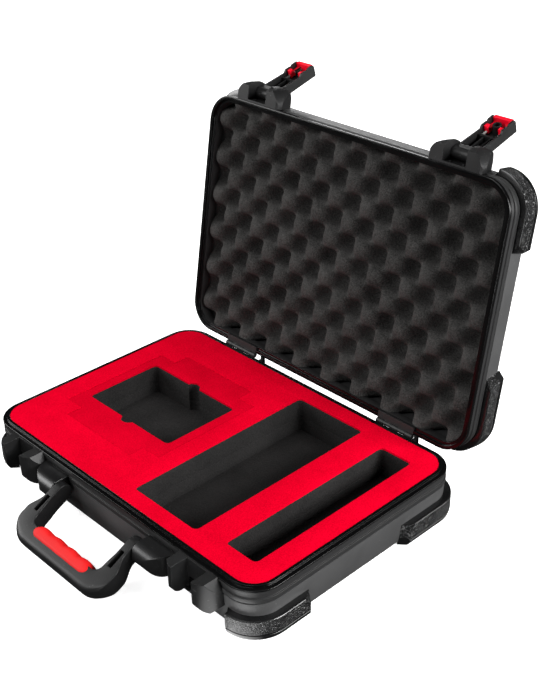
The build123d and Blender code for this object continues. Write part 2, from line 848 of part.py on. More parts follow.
def make_housing(side):
    with BuildPart() as housing:
        extrude(ear_plan(on_lid(Plane.XY), side), amount=housing_height)
        ledge_foot = ledge_bottom - latch_pivot_up
        lean = radians(180 - latch_flip)
        away = Vector(cos(lean), -sin(lean)) * -(arm_outer + running_clearance)
        along = Vector(sin(lean), cos(lean))
        low_end = away + along * ((ledge_foot + 1 - away.Y) / along.Y)
        high_end = away + along * ((housing_height - latch_pivot_up - away.Y) / along.Y)
        ledge = [(front + 1, ledge_bottom), (front - latch_pivot_out - low_end.X + 0.6, ledge_bottom)]
        ledge += [(pivot_y - end.X, latch_pivot_up + end.Y) for end in (low_end, high_end)]
        ledge += [(front + 1, housing_height)]
        ledge_plane = on_lid(Plane.YZ.offset(side * latch_x - slot_half_width))
        extrude(closed_outline(ledge_plane, ledge), amount=2 * slot_half_width)
        nose = nose_outline(
            on_lid(Plane.YZ),
            housing_height,
            housing_near_reach,
            housing_nose_start,
            housing_nose_middle,
            housing_nose_end,
        )
        extrude(nose, amount=case_width, both=True, mode=Mode.INTERSECT)
        face_view = on_lid(Plane(origin=(0, 0, 0), x_dir=(1, 0, 0), z_dir=(0, -1, 0)))
        widths = [
            (ear_half_width - 2, ear_gap),
            (ear_half_width, 4),
            (ear_half_width, housing_full_to),
            (housing_end_width, housing_height),
        ]
        front_view = front_outline(face_view, side, widths)
        extrude(front_view, amount=case_depth, both=True, mode=Mode.INTERSECT)
        add(lid_envelope, mode=Mode.SUBTRACT)
        with BuildSketch(on_lid(Plane.YZ.offset(side * latch_x))):
            with Locations((pivot_y, latch_pivot_up)):
                Circle(latch_pin_radius)
        extrude(amount=slot_half_width + latch_pin_bite, both=True, mode=Mode.SUBTRACT)
        add(housing_rivets.part, mode=Mode.SUBTRACT)
    keep(housing, f"latch_housing_{side_names[side]}")


def make_latch_pin(side):
    with BuildPart() as pin:
        with BuildSketch(on_latch(side, Plane.YZ)):
            Circle(latch_pin_radius)
        extrude(amount=slot_half_width + latch_pin_bite, both=True)
    keep(pin, f"latch_pin_{side_names[side]}")


def make_strike(side):
    """Bent steel plate with two hooks that the release claws reach behind."""
    def hook_point(out, up):
        return (front - out, base_height + up)

    plate_out = plate_thickness + strike_plate
    with BuildPart() as strike:
        plate = [
            hook_point(plate_thickness, strike_bottom),
            hook_point(plate_out, strike_bottom),
            hook_point(plate_out, strike_bottom + strike_height),
            hook_point(plate_thickness, strike_bottom + strike_height),
        ]
        extrude(closed_outline(Plane.YZ.offset(side * latch_x), plate), amount=strike_half_width, both=True)
        hook = [
            hook_point(plate_thickness, strike_bottom),
            hook_point(strike_edge_out, strike_bottom),
            hook_point(strike_edge_out, strike_edge_top),
            hook_point(strike_edge_out - strike_edge, strike_edge_top),
            hook_point(strike_edge_out - strike_edge, strike_lip_top),
            hook_point(plate_thickness, strike_lip_top),
        ]
        for start in (-strike_hook_outer, strike_hook_inner):
            hook_plane = Plane.YZ.offset(side * latch_x + start)
            extrude(closed_outline(hook_plane, hook), amount=strike_hook_outer - strike_hook_inner)
        add(keeper_rivets.part, mode=Mode.SUBTRACT)
    keep(strike, f"strike_{side_names[side]}")


for side in (-1, 1):
    make_keeper(side)
    make_housing(side)
    make_latch_pin(side)
    make_strike(side)


# ---- Latch arms ---------------------------------------------------------------------

def arm_point(out, along):
    """Outwards from the pivot and along the arm, as a point of the arm's side plane."""
    return (-out, -along)


def arm_block(side, offset, width, points, mode=Mode.ADD):
    """A straight block across the arm, from its side outline."""
    plane = on_latch(side, Plane.YZ.offset(offset))
    side_outline = closed_outline(plane, [arm_point(out, along) for out, along in points])
    extrude(side_outline, amount=width, mode=mode)


def arm_profile(side):
    root = arm_root_radius
    slant = root * sin(radians(45))
    with BuildSketch(on_latch(side, Plane.YZ)) as profile:
        with BuildLine():
            EllipticalCenterArc((0, 0), arm_outer, root, start_angle=90, arc_size=90)
            ThreePointArc(arm_point(0, -root), arm_point(-slant, -slant), arm_point(-root, 0))
            Polyline(
                arm_point(-root, 0),
                arm_point(-arm_inner_root, 12),
                arm_point(-arm_inner_waist, arm_waist_at),
                arm_point(-arm_inner_tip + 0.8, arm_step_at),
                arm_point(-arm_inner_tip + 0.8, arm_notch_at - 2),
                arm_point(-arm_inner_tip + 1.8, arm_notch_at),
                arm_point(-arm_inner_tip, arm_notch_at + 2.5),
                arm_point(-arm_inner_tip, arm_length - arm_end_slope),
                arm_point(-arm_inner_tip + arm_end_slope, arm_length),
                arm_point(arm_outer - arm_end_slope / 2, arm_length),
                arm_point(arm_outer, arm_length - arm_end_slope / 2),
                arm_point(arm_outer, 0),
            )
        make_face()
    return profile.sketch


def lock_plane(side, out):
    return on_latch(side, Plane(origin=(0, -out, -lock_at), x_dir=(1, 0, 0), z_dir=(0, -1, 0)))


def make_arm(side):
    skin = arm_outer - arm_skin
    inside = arm_half_width - arm_wall
    with BuildPart() as arm:
        extrude(arm_profile(side), amount=arm_half_width, both=True)
        with BuildSketch(on_latch(side, Plane.XY)):
            with Locations((0, 0)):
                RectangleRounded(2 * arm_half_width, 2 * arm_outer, arm_outer_edge)
            with Locations((0, arm_outer)):
                Rectangle(2 * arm_half_width, 2 * arm_outer)
        extrude(amount=2 * arm_length, both=True, mode=Mode.INTERSECT)
        hollow = [(-2 * arm_outer, arm_root_end), (skin, arm_root_end), (skin, 2 * arm_length)]
        hollow += [(-2 * arm_outer, 2 * arm_length)]
        arm_block(side, -inside, 2 * inside, hollow, mode=Mode.SUBTRACT)
        rib = [(rib_inner, arm_root_end), (skin, arm_root_end)]
        rib += [(skin, arm_bulkhead_at), (rib_inner, arm_bulkhead_at)]
        for start in (-arm_rib_half_gap - arm_rib_width, arm_rib_half_gap):
            arm_block(side, start, arm_rib_width, rib)
        bulkhead_end = arm_bulkhead_at + arm_bulkhead
        bulkhead = [(leg_inner, arm_bulkhead_at), (skin, arm_bulkhead_at), (skin, bulkhead_end)]
        bulkhead += [(leg_inner, bulkhead_end)]
        arm_block(side, -inside, 2 * inside, bulkhead)
        with BuildSketch(on_latch(side, Plane.YZ)):
            Circle(latch_pin_radius + running_clearance)
        extrude(amount=2 * arm_half_width, both=True, mode=Mode.SUBTRACT)
        with BuildSketch(lock_plane(side, arm_outer)):
            Circle(lock_radius + lock_turn_clearance)
        extrude(amount=-2 * arm_skin, mode=Mode.SUBTRACT)
    keep(arm, f"latch_arm_{side_names[side]}")


def make_button(side):
    """Thumb block on the arm's tip with two legs that end in claws."""
    claw_end = button_claw_at + button_claw_thickness
    thumb_start = button_thumb_at
    with BuildPart() as button:
        with BuildSketch(on_latch(side, Plane.YZ)):
            with BuildLine():
                Polyline(
                    arm_point(thumb_inner, button_end_at),
                    arm_point(thumb_inner, thumb_start),
                    arm_point(thumb_outer, thumb_start),
                    arm_point(thumb_outer, button_end_at),
                )
                ThreePointArc(
                    arm_point(thumb_outer, button_end_at),
                    arm_point((thumb_inner + thumb_outer) / 2, button_end_at - button_dish),
                    arm_point(thumb_inner, button_end_at),
                )
            make_face()
        extrude(amount=button_half_width, both=True)
        leg_plane = Plane(origin=(0, -leg_inner, 0), x_dir=(1, 0, 0), z_dir=(0, -1, 0))
        with BuildSketch(on_latch(side, leg_plane)):
            for sign in (-1, 1):
                outline_points = [
                    (button_leg_inner, button_claw_at),
                    (button_leg_outer, button_claw_at),
                    (button_leg_outer, thumb_start - 3),
                    (button_half_width, thumb_start),
                    (button_half_width, thumb_start + 1),
                    (button_leg_inner - 3.7, thumb_start + 1),
                    (button_leg_inner - 3.7, thumb_start),
                    (button_leg_inner, thumb_start - 4.2),
                ]
                with BuildLine():
                    Polyline(*[(sign * x, -along) for x, along in outline_points], close=True)
                make_face()
        extrude(amount=leg_outer - leg_inner)
        claw = [
            (leg_inner + 1, button_claw_at),
            (claw_inner, button_claw_at),
            (claw_inner, claw_end + button_claw_tip),
            (claw_outer, claw_end + button_claw_tip),
            (claw_outer, claw_end),
            (leg_inner + 1, claw_end),
        ]
        for start in (-button_leg_outer, button_leg_inner):
            arm_block(side, start, button_leg_outer - button_leg_inner, claw)
    keep(button, f"release_button_{side_names[side]}")


def make_springs(side):
    """Two springs of folded flat strip between the bulkhead and the legs."""
    start = arm_bulkhead_at + arm_bulkhead
    pitch = (button_claw_at - start) / spring_folds
    low = spring_out - spring_height / 2
    swing = spring_height - spring_strip
    near_side = [(low + swing * (fold % 2), start + fold * pitch) for fold in range(spring_folds + 1)]
    far_side = [(out + spring_strip, along) for out, along in reversed(near_side)]
    with BuildPart() as springs:
        for sign in (-1, 1):
            first = sign * (button_leg_inner + button_leg_outer) / 2 - spring_width / 2
            arm_block(side, first, spring_width, near_side + far_side)
    keep(springs, f"release_spring_{side_names[side]}")


def make_lock(side, name, keyed):
    with BuildPart() as lock:
        with BuildSketch(lock_plane(side, lock_inner)):
            Circle(lock_radius)
        extrude(amount=arm_outer - lock_inner)
        flange_foot = arm_outer + lock_flange_gap
        with BuildSketch(lock_plane(side, flange_foot)):
            Circle(lock_radius)
        extrude(amount=-lock_flange_gap)
        with BuildSketch(lock_plane(side, flange_foot)):
            Circle(lock_radius + lock_flange)
        extrude(amount=lock_flange_height)
        if keyed:
            with BuildSketch(lock_plane(side, flange_foot + lock_flange_height)):
                Rectangle(keyway_length, keyway_width)
            extrude(amount=-keyway_depth, mode=Mode.SUBTRACT)
            with BuildSketch(lock_plane(side, lock_inner)):
                Circle(lock_radius)
                Rectangle(lock_cam_width, 2 * lock_radius, mode=Mode.SUBTRACT)
            extrude(amount=lock_cam_depth, mode=Mode.SUBTRACT)
        else:
            with BuildSketch(lock_plane(side, lock_inner)):
                Circle(lock_radius - plug_wall)
            extrude(amount=plug_depth, mode=Mode.SUBTRACT)
    keep(lock, name)


for side in (-1, 1):
    make_arm(side)
    make_button(side)
    make_springs(side)
make_lock(-1, "lock_barrel_left", keyed=True)
make_lock(1, "lock_plug_right", keyed=False)


# ---- Handle -------------------------------------------------------------------------

def handle_plan_point(x, out):
    return (x, -out)


boss_width = handle_root_half_width - handle_root_inner
arm_middle_x = handle_root_inner + boss_width / 2
grip_top = on_handle(Plane.XY)


def handle_arms_and_bar(plane):
    """Plan of the handle: two arms that widen from the pins to a straight bar."""
    outer = handle_half_width
    outline_points = [
        (-handle_root_half_width, 0),
        (-handle_root_half_width, handle_flare_start),
        (-outer, handle_flare_end),
        (-outer, handle_reach),
        (outer, handle_reach),
        (outer, handle_flare_end),
        (handle_root_half_width, handle_flare_start),
        (handle_root_half_width, 0),
        (handle_root_inner, 0),
        (handle_arm_inner, handle_bar_inner),
        (-handle_arm_inner, handle_bar_inner),
        (-handle_root_inner, 0),
    ]
    with BuildSketch(plane) as profile:
        with BuildLine():
            Polyline(*[handle_plan_point(x, out) for x, out in outline_points], close=True)
        make_face()
        corners = profile.vertices().sort_by(Axis.Y)
        fillet(corners[:2], handle_corner)
        inner_corners = [v for v in profile.vertices() if abs(v.Y + handle_bar_inner) < 0.01]
        fillet(inner_corners, handle_inner_corner)
    return profile.sketch


def arm_boss(x):
    """Rounded end of one handle arm, round the pin."""
    with BuildPart() as boss:
        with BuildSketch(on_handle(Plane.YZ.offset(x))):
            with Locations((0, handle_top_half - handle_boss_radius)):
                Circle(handle_boss_radius)
        extrude(amount=boss_width / 2, both=True)
        chamfer(boss.edges().filter_by(GeomType.CIRCLE), handle_edge)
    return boss.part


def handle_section():
    """Side outline of the handle, with the bar's lower outer edge rounded."""
    with BuildSketch(on_handle(Plane.YZ)) as section:
        with BuildLine():
            Polyline(
                (-handle_reach, handle_under_edge - handle_under_half),
                (-handle_reach, handle_top_half),
                (0, handle_top_half),
                (0, -handle_under_half),
                (-edge_out, -handle_under_half),
            )
            RadiusArc(
                (-edge_out, -handle_under_half),
                (-handle_reach, handle_under_edge - handle_under_half),
                handle_under_edge,
            )
        make_face()
    return section.sketch


with BuildPart() as handle_frame:
    plan = handle_arms_and_bar(on_handle(Plane.XY.offset(-handle_under_half)))
    extrude(plan, amount=handle_top_half + handle_under_half)
    flats = handle_frame.faces().filter_by(grip_top).edges()
    chamfer(flats.filter_by(lambda edge: grip_top.to_local_coords(edge.center()).Y < -1), handle_edge)
    extrude(handle_section(), amount=2 * handle_half_width, both=True, mode=Mode.INTERSECT)
    add(arm_boss(-arm_middle_x))
    add(arm_boss(arm_middle_x))
    for sign in (-1, 1):
        slot_middle = handle_plan_point(sign * arm_middle_x, (arm_slot_start + arm_slot_end) / 2)
        with BuildSketch(on_handle(Plane.XY.offset(handle_top_half))):
            with Locations(slot_middle):
                SlotOverall(arm_slot_end - arm_slot_start, arm_slot_width, rotation=90)
        extrude(amount=-arm_slot_depth, mode=Mode.SUBTRACT)
        bore_end = handle_root_half_width + 1
        with BuildSketch(on_handle(Plane.YZ.offset(sign * handle_pin_inner))):
            Circle(handle_pin_radius + running_clearance)
        extrude(amount=sign * (bore_end - handle_pin_inner), mode=Mode.SUBTRACT)
    for face_sign, level in ((1, grip_core_top), (-1, -grip_core_under)):
        with BuildSketch(on_handle(Plane.XY.offset(level))):
            with Locations(handle_plan_point(0, grip_high / 2)):
                Rectangle(2 * grip_half_length, grip_high)
        extrude(amount=face_sign * 2 * handle_top_half, mode=Mode.SUBTRACT)
    with BuildSketch(grip_top):
        with Locations(handle_plan_point(0, grip_core / 2)):
            Rectangle(2 * grip_half_length, grip_core)
    extrude(amount=2 * handle_top_half, both=True, mode=Mode.SUBTRACT)
keep(handle_frame, "handle_frame")


def grip_profile():
    """Plan of the grip: straight along the bar, with a finger hollow for each wave on the inner side."""
    pitch = 2 * grip_half_length / grip_waves
    corners = [-grip_half_length + i * pitch for i in range(grip_waves + 1)]
    with BuildSketch(grip_top) as profile:
        with BuildLine():
            for start, end in zip(corners, corners[1:]):
                middle = handle_plan_point((start + end) / 2, grip_low + grip_wave_depth)
                ThreePointArc(handle_plan_point(start, grip_low), middle, handle_plan_point(end, grip_low))
            Polyline(
                handle_plan_point(grip_half_length, grip_low),
                handle_plan_point(grip_half_length, grip_high),
                handle_plan_point(-grip_half_length, grip_high),
                handle_plan_point(-grip_half_length, grip_low),
            )
        make_face()
    return profile.sketch


with BuildPart() as handle_grip:
    extrude(grip_profile(), amount=handle_top_half + grip_proud)
    extrude(grip_profile(), amount=-handle_under_half - grip_proud)
    flat_sides = handle_grip.faces().filter_by(grip_top)
    chamfer(flat_sides.edges().filter_by(Axis.X), grip_edge)
    with BuildSketch(on_handle(Plane.XY.offset(-grip_core_under))):
        with Locations(handle_plan_point(0, (grip_core + handle_reach) / 2)):
            Rectangle(2 * grip_half_length, handle_reach - grip_core)
    extrude(amount=grip_core_under + grip_core_top, mode=Mode.SUBTRACT)
keep(handle_grip, "handle_grip")


# ---- Handle brackets and pins -------------------------------------------------------

def make_bracket(side):
    near = handle_root_half_width + bracket_gap
    far = bracket_end
    bracket_length = far - near
    flat_end = near + bracket_flat * bracket_length
    nose = front - handle_pivot_out - bracket_nose
    bulge_x = near + bracket_bulge * bracket_length
    bulge_point = (side * bulge_x, front - bracket_bulge_out * (front - nose))
    with BuildPart() as bracket:
        with BuildSketch(Plane.YZ.offset(side * near)):
            with Locations((handle_pivot_y, handle_pivot_up)):
                Circle(bracket_nose)
            with Locations(((handle_pivot_y + front + bracket_root) / 2, handle_pivot_up)):
                Rectangle(handle_pivot_out + bracket_root, 2 * bracket_nose)
        extrude(amount=side * bracket_length)
        with BuildSketch(Plane.XY.offset(handle_pivot_up)) as plan:
            with BuildLine():
                Polyline(
                    (side * far, front),
                    (side * far, front + bracket_root),
                    (side * near, front + bracket_root),
                    (side * near, nose + bracket_lead),
                    (side * (near + bracket_lead), nose),
                    (side * flat_end, nose),
                )
                ThreePointArc((side * flat_end, nose), bulge_point, (side * far, front))
            make_face()
        extrude(amount=2 * bracket_nose, both=True, mode=Mode.INTERSECT)
        add(base_envelope, mode=Mode.SUBTRACT)
        with BuildSketch(Plane.YZ.offset(side * near)):
            with Locations((handle_pivot_y, handle_pivot_up)):
                Circle(handle_pin_radius)
        extrude(amount=side * (handle_pin_outer - near), mode=Mode.SUBTRACT)
    keep(bracket, f"handle_bracket_{side_names[side]}")


def make_handle_pin(side):
    with BuildPart() as pin:
        with BuildSketch(Plane.YZ.offset(side * handle_pin_inner)):
            with Locations((handle_pivot_y, handle_pivot_up)):
                Circle(handle_pin_radius)
        extrude(amount=side * (handle_pin_outer - handle_pin_inner))
    keep(pin, f"handle_pin_{side_names[side]}")


for side in (-1, 1):
    make_bracket(side)
    make_handle_pin(side)
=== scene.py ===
"""A moulded equipment case for pedals, open, with cut foam in the base and egg-crate foam in the lid.

The file follows the case as it is put together. The case's frame is in metres: +Z up, -Y the front with the
handle and the latches, and the origin in the middle of the underside. Sizes of shapes here are in
millimetres, and new_piece turns them into metres. Sizes of grain and bump are in metres.
"""

import bmesh
import bpy
import numpy as np
from mathutils import Matrix, Vector
from mathutils.geometry import tessellate_polygon


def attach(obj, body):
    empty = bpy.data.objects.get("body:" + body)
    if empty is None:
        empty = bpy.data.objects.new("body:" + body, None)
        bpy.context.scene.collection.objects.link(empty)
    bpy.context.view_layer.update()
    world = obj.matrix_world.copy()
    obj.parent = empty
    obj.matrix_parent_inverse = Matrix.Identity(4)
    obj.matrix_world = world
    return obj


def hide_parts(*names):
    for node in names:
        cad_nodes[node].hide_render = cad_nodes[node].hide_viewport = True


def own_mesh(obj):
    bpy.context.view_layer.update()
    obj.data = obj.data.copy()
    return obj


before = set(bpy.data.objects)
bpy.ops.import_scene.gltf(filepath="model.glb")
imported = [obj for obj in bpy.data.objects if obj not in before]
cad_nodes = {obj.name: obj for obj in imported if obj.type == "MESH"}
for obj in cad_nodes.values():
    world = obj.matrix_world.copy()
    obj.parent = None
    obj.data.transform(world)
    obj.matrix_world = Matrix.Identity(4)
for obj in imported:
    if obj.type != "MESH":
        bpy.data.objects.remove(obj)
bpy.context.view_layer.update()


# ---- Base and lid shells ----
# Two trays of black plastic, injection moulded in one piece each, with drafted sides and a rounded edge along
# the far face. A thin neck round the mouth of each tray goes up into the rim frame. The faces carry the fine
# even texture of the mould.

METRE = 0.001
CASE_HALF_WIDTH = 235.0
CASE_HALF_DEPTH = 160.0
CASE_CORNER = 36.0
BASE_HEIGHT = 60.0
LID_HEIGHT = 46.0
SHELL_SHOULDER = 18.6
SHELL_SIDE_INSET = 1.0
SHELL_DRAFT = np.radians(3.5)
SHELL_EDGE = 6.0
SHELL_WALL = 3.0
FLOOR_CHAMFER = 3.0
NECK_OUTER_INSET = 3.2
NECK_INNER_INSET = 5.8
BASE_NECK_END = 3.2
LID_NECK_END = 6.4
HINGE_AXIS = np.array([0.0, 163.4, 60.6])
LID_OPEN = np.radians(-100.0)


def on_open_lid(points):
    """Points of the shut lid carried to the open lid. The turn about the hinge mixes y and z by the angle's
    cosine and sine."""
    c, s = np.cos(LID_OPEN), np.sin(LID_OPEN)
    turn = np.array([[1, 0, 0], [0, c, -s], [0, s, c]])
    return (np.asarray(points, float) - HINGE_AXIS) @ turn.T + HINGE_AXIS


def rounded_outline(half_x, half_y, radius, arc_steps=14, run_steps=10):
    """Points round a rounded rectangle, anticlockwise seen from above.

    Each corner is its centre plus radius times (cos a, sin a), and the straight runs between the corners are
    divided evenly."""
    quarter = np.linspace(0, np.pi / 2, arc_steps + 1)
    angles = quarter + np.arange(4)[:, None] * np.pi / 2
    centres = np.array([[1, 1], [-1, 1], [-1, -1], [1, -1]]) * [half_x - radius, half_y - radius]
    arcs = centres[:, None] + radius * np.dstack([np.cos(angles), np.sin(angles)])
    share = (np.arange(1, run_steps) / run_steps)[:, None]
    runs = arcs[:, -1:] * (1 - share) + np.roll(arcs[:, :1], -1, axis=0) * share
    return np.concatenate([arcs, runs], axis=1).reshape(-1, 2)


def softened(profile, radius, steps=4):
    """A closed polygon with each corner rounded. A corner c becomes the curve (1-t)^2 a + 2t(1-t) c + t^2 b,
    where a and b lie on its two edges, radius away from it or at most 0.48 of the edge."""
    p = np.asarray(profile, float)
    before, after = np.roll(p, 1, axis=0) - p, np.roll(p, -1, axis=0) - p
    length_before = np.linalg.norm(before, axis=1, keepdims=True)
    length_after = np.linalg.norm(after, axis=1, keepdims=True)
    r = np.broadcast_to(np.asarray(radius, float).reshape(-1, 1), (len(p), 1))
    a = p + before / length_before * np.minimum(r, 0.48 * length_before)
    b = p + after / length_after * np.minimum(r, 0.48 * length_after)
    t = np.linspace(0, 1, steps + 1)[:, None]
    curves = (1 - t) ** 2 * a[:, None] + 2 * t * (1 - t) * p[:, None] + t**2 * b[:, None]
    return curves.reshape(-1, 2)


def raised(outlines, heights):
    """Outlines of as many points each, every one at its own height, as a grid of points."""
    levels = np.broadcast_to(np.asarray(heights)[:, None, None], (len(outlines), len(outlines[0]), 1))
    return np.concatenate([outlines, levels], axis=2)


def case_outline(inset, run_steps=10):
    """The case's outline moved inwards."""
    return rounded_outline(CASE_HALF_WIDTH - inset, CASE_HALF_DEPTH - inset, CASE_CORNER - inset,
                           run_steps=run_steps)


def carried_round(profile, up):
    """A profile carried round the shut case, as pairs of inset and distance from the parting plane. up is -1
    on the base and 1 on the lid."""
    insets, distances = np.transpose(profile)
    return raised([case_outline(inset) for inset in insets], BASE_HEIGHT + up * distances)


def grid_faces(rows, columns, close_rows=False, close_columns=False, first=0):
    """Quads of a grid of points, counted row by row. A closed direction joins its last line to its first."""
    i = np.arange(rows if close_rows else rows - 1)[:, None]
    j = np.arange(columns if close_columns else columns - 1)
    i2, j2 = (i + 1) % rows, (j + 1) % columns
    quads = np.stack([i * columns + j, i * columns + j2, i2 * columns + j2, i2 * columns + j], axis=-1)
    return (quads.reshape(-1, 4) + first).tolist()


def new_object(name, data):
    """An object in the scene."""
    made = bpy.data.objects.new(name, data)
    bpy.context.scene.collection.objects.link(made)
    return made


def new_piece(name, points, faces, place=None, smooth_angle=35.0):
    """A mesh object from faces and points in millimetres, which place carries from where they are drawn to
    the case. Normals point outwards, and edges sharper than the angle in degrees stay crisp."""
    mesh = bpy.data.meshes.new(name)
    mesh.from_pydata(((place(points) if place else points) * METRE).tolist(), [], faces)
    work = bmesh.new()
    work.from_mesh(mesh)
    bmesh.ops.remove_doubles(work, verts=work.verts, dist=1e-6)
    bmesh.ops.dissolve_degenerate(work, edges=work.edges, dist=1e-7)
    bmesh.ops.recalc_face_normals(work, faces=work.faces)
    work.to_mesh(mesh)
    work.free()
    mesh.shade_smooth()
    mesh.set_sharp_from_angle(angle=np.radians(smooth_angle))
    return new_object(name, mesh)


def carried_piece(name, grid, close_rows=False, close_columns=True, **how):
    """A piece from a grid of profile rows. Open ends are closed by flat caps."""
    rows, columns = grid.shape[:2]
    faces = grid_faces(rows, columns, close_rows, close_columns)
    if not close_rows:
        faces += [list(range(columns)), list(range((rows - 1) * columns, rows * columns))]
    if not close_columns:
        faces += [[r * columns for r in range(rows)], [r * columns + columns - 1 for r in range(rows)]]
    return new_piece(name, grid.reshape(-1, 3), faces, **how)


def finish_piece(piece, material, body, slot, *replaced):
    """Gives a piece its material and its body, and hides the CAD nodes it stands for. The slot it is given is
    not used.
    """
    piece.data.materials.clear()
    piece.data.materials.append(material)
    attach(piece, body)
    if replaced:
        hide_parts(*replaced)


class Wiring:
    """Adds nodes to a node tree. What an input is given is a number, a tuple or a socket to join."""

    def __init__(self, tree):
        self.tree = tree

    def add(self, kind, settings=None, **inputs):
        """A node of a kind. Input names have underscores for spaces."""
        node = self.tree.nodes.new(kind)
        for key, value in (settings or {}).items():
            setattr(node, key, value)
        for key, value in inputs.items():
            self.set(node.inputs[key.replace("_", " ")], value)
        return node

    def set(self, socket, value):
        """Gives an input a value, or joins a socket to it."""
        if isinstance(value, bpy.types.NodeSocket):
            self.tree.links.new(value, socket)
        else:
            socket.default_value = value

    def in_order(self, kind, settings, values):
        """The outputs of a node whose inputs are given in their order."""
        node = self.add(kind, settings)
        for socket, value in zip(node.inputs, values):
            self.set(socket, value)
        return node.outputs

    def maths(self, operation, *values):
        """The result of a sum on numbers."""
        return self.in_order("ShaderNodeMath", {"operation": operation}, values)[0]

    def vectors(self, operation, *values):
        """The outputs of a sum on vectors."""
        return self.in_order("ShaderNodeVectorMath", {"operation": operation}, values)

    def place(self):
        """Where the surface point is."""
        return self.add("ShaderNodeTexCoord").outputs["Object"]

    def noise(self, scale, detail, roughness=0.5):
        """The outputs of a noise over the surface."""
        return self.add("ShaderNodeTexNoise", Vector=self.place(), Scale=scale, Detail=detail,
                        Roughness=roughness).outputs

    def bump(self, height, depth, **under):
        """The normal of a surface raised by a height times a depth in metres."""
        return self.add("ShaderNodeBump", Distance=depth, Height=height, Strength=1.0, **under).outputs[0]

    def rounded(self, radius):
        """The normal of a surface whose edges are rounded by a radius in metres."""
        return self.add("ShaderNodeBevel", {"samples": 4}, Radius=radius).outputs[0]

    def group(self, group, **inputs):
        """The outputs of a placed copy of a node group."""
        return self.add("ShaderNodeGroup", {"node_tree": group}, **inputs).outputs

    def spread(self, value, low, high, to_low=0.0, to_high=1.0):
        """A value taken from one range to another, and kept inside it."""
        values = (value, low, high, to_low, to_high)
        return self.in_order("ShaderNodeMapRange", {"clamp": True}, values)[0]


def effect_group(name, inputs, outputs):
    """An empty shader node group with named inputs and outputs of numbers, its wiring, and both their
    sockets inside it."""
    group = bpy.data.node_groups.new(name, "ShaderNodeTree")
    for socket, value in inputs.items():
        made = group.interface.new_socket(name=socket, in_out="INPUT", socket_type="NodeSocketFloat")
        made.default_value = value
    for socket in outputs:
        group.interface.new_socket(name=socket, in_out="OUTPUT", socket_type="NodeSocketFloat")
    wiring = Wiring(group)
    return group, wiring, wiring.add("NodeGroupInput").outputs, wiring.add("NodeGroupOutput").inputs


def moulded_texture():
    """The even texture of a mould, faint flow marks, and dust.

    Height is fine noise. Flow is broad noise that makes some areas duller. Dust is the highest peaks of a
    medium noise."""
    group, wiring, given, out = effect_group(
        "moulded texture", {"Grain Size": 0.0006, "Flow Size": 0.05, "Dust": 0.5}, ["Height", "Flow", "Dust"])
    grain = wiring.noise(wiring.maths("DIVIDE", 1.0, given["Grain Size"]), 2.0, 0.55)
    flow = wiring.noise(wiring.maths("DIVIDE", 1.0, given["Flow Size"]), 4.0, 0.6)
    speck = wiring.spread(wiring.noise(260.0, 3.0, 0.7)["Fac"], 0.66, 0.76)
    wiring.set(out["Height"], grain["Fac"])
    wiring.set(out["Flow"], flow["Fac"])
    wiring.set(out["Dust"], wiring.maths("MULTIPLY", speck, given["Dust"]))
    return group


MOULDED_TEXTURE = moulded_texture()


def surface(name, **constants):
    """A new material with a Principled shader, its constant sockets set, and its wiring."""
    material = bpy.data.materials.new(name)
    material.use_nodes = True
    wiring = Wiring(material.node_tree)
    shader = material.node_tree.nodes["Principled BSDF"]
    for key, value in constants.items():
        shader.inputs[key.replace("_", " ")].default_value = value
    return material, wiring, shader.inputs


def between(wiring, share, low, high):
    """A colour between two, by a share from 0 to 1. Each of the two is a colour or a socket."""
    mix = wiring.add("ShaderNodeMix", {"data_type": "RGBA"})
    ends = [(*colour, 1.0) if isinstance(colour, tuple) else colour for colour in (low, high)]
    for socket, value in zip((mix.inputs[0], mix.inputs[6], mix.inputs[7]), (share, *ends)):
        wiring.set(socket, value)
    return mix.outputs[2]


def moulded_plastic(name, dark, light, rough, grain, round_edge=0.0, dust=0.5, specular=0.5):
    """Moulded plastic. Flow marks move its colour and its roughness between their two values, and the mould's
    texture, a size and a depth, is its bump. Edges catch the light as if rounded by round_edge."""
    material, wiring, into = surface(name, IOR=1.49, Specular_IOR_Level=specular)
    texture = wiring.group(MOULDED_TEXTURE, Grain_Size=grain[0], Dust=dust)
    tone = between(wiring, wiring.spread(texture["Flow"], 0.3, 0.7), dark, light)
    wiring.set(into["Base Color"], between(wiring, texture["Dust"], tone, (0.16, 0.16, 0.155)))
    marks = wiring.spread(texture["Flow"], 0.3, 0.7, *rough)
    wiring.set(into["Roughness"], wiring.maths("ADD", marks, wiring.maths("MULTIPLY", texture["Dust"], 0.3)))
    edges = {"Normal": wiring.rounded(round_edge)} if round_edge else {}
    wiring.set(into["Normal"], wiring.bump(texture["Height"], grain[1], **edges))
    return material


shell_plastic = moulded_plastic("shell plastic", (0.044, 0.044, 0.0445), (0.055, 0.055, 0.0555),
                                rough=(0.42, 0.50), grain=(0.0007, 0.000012))


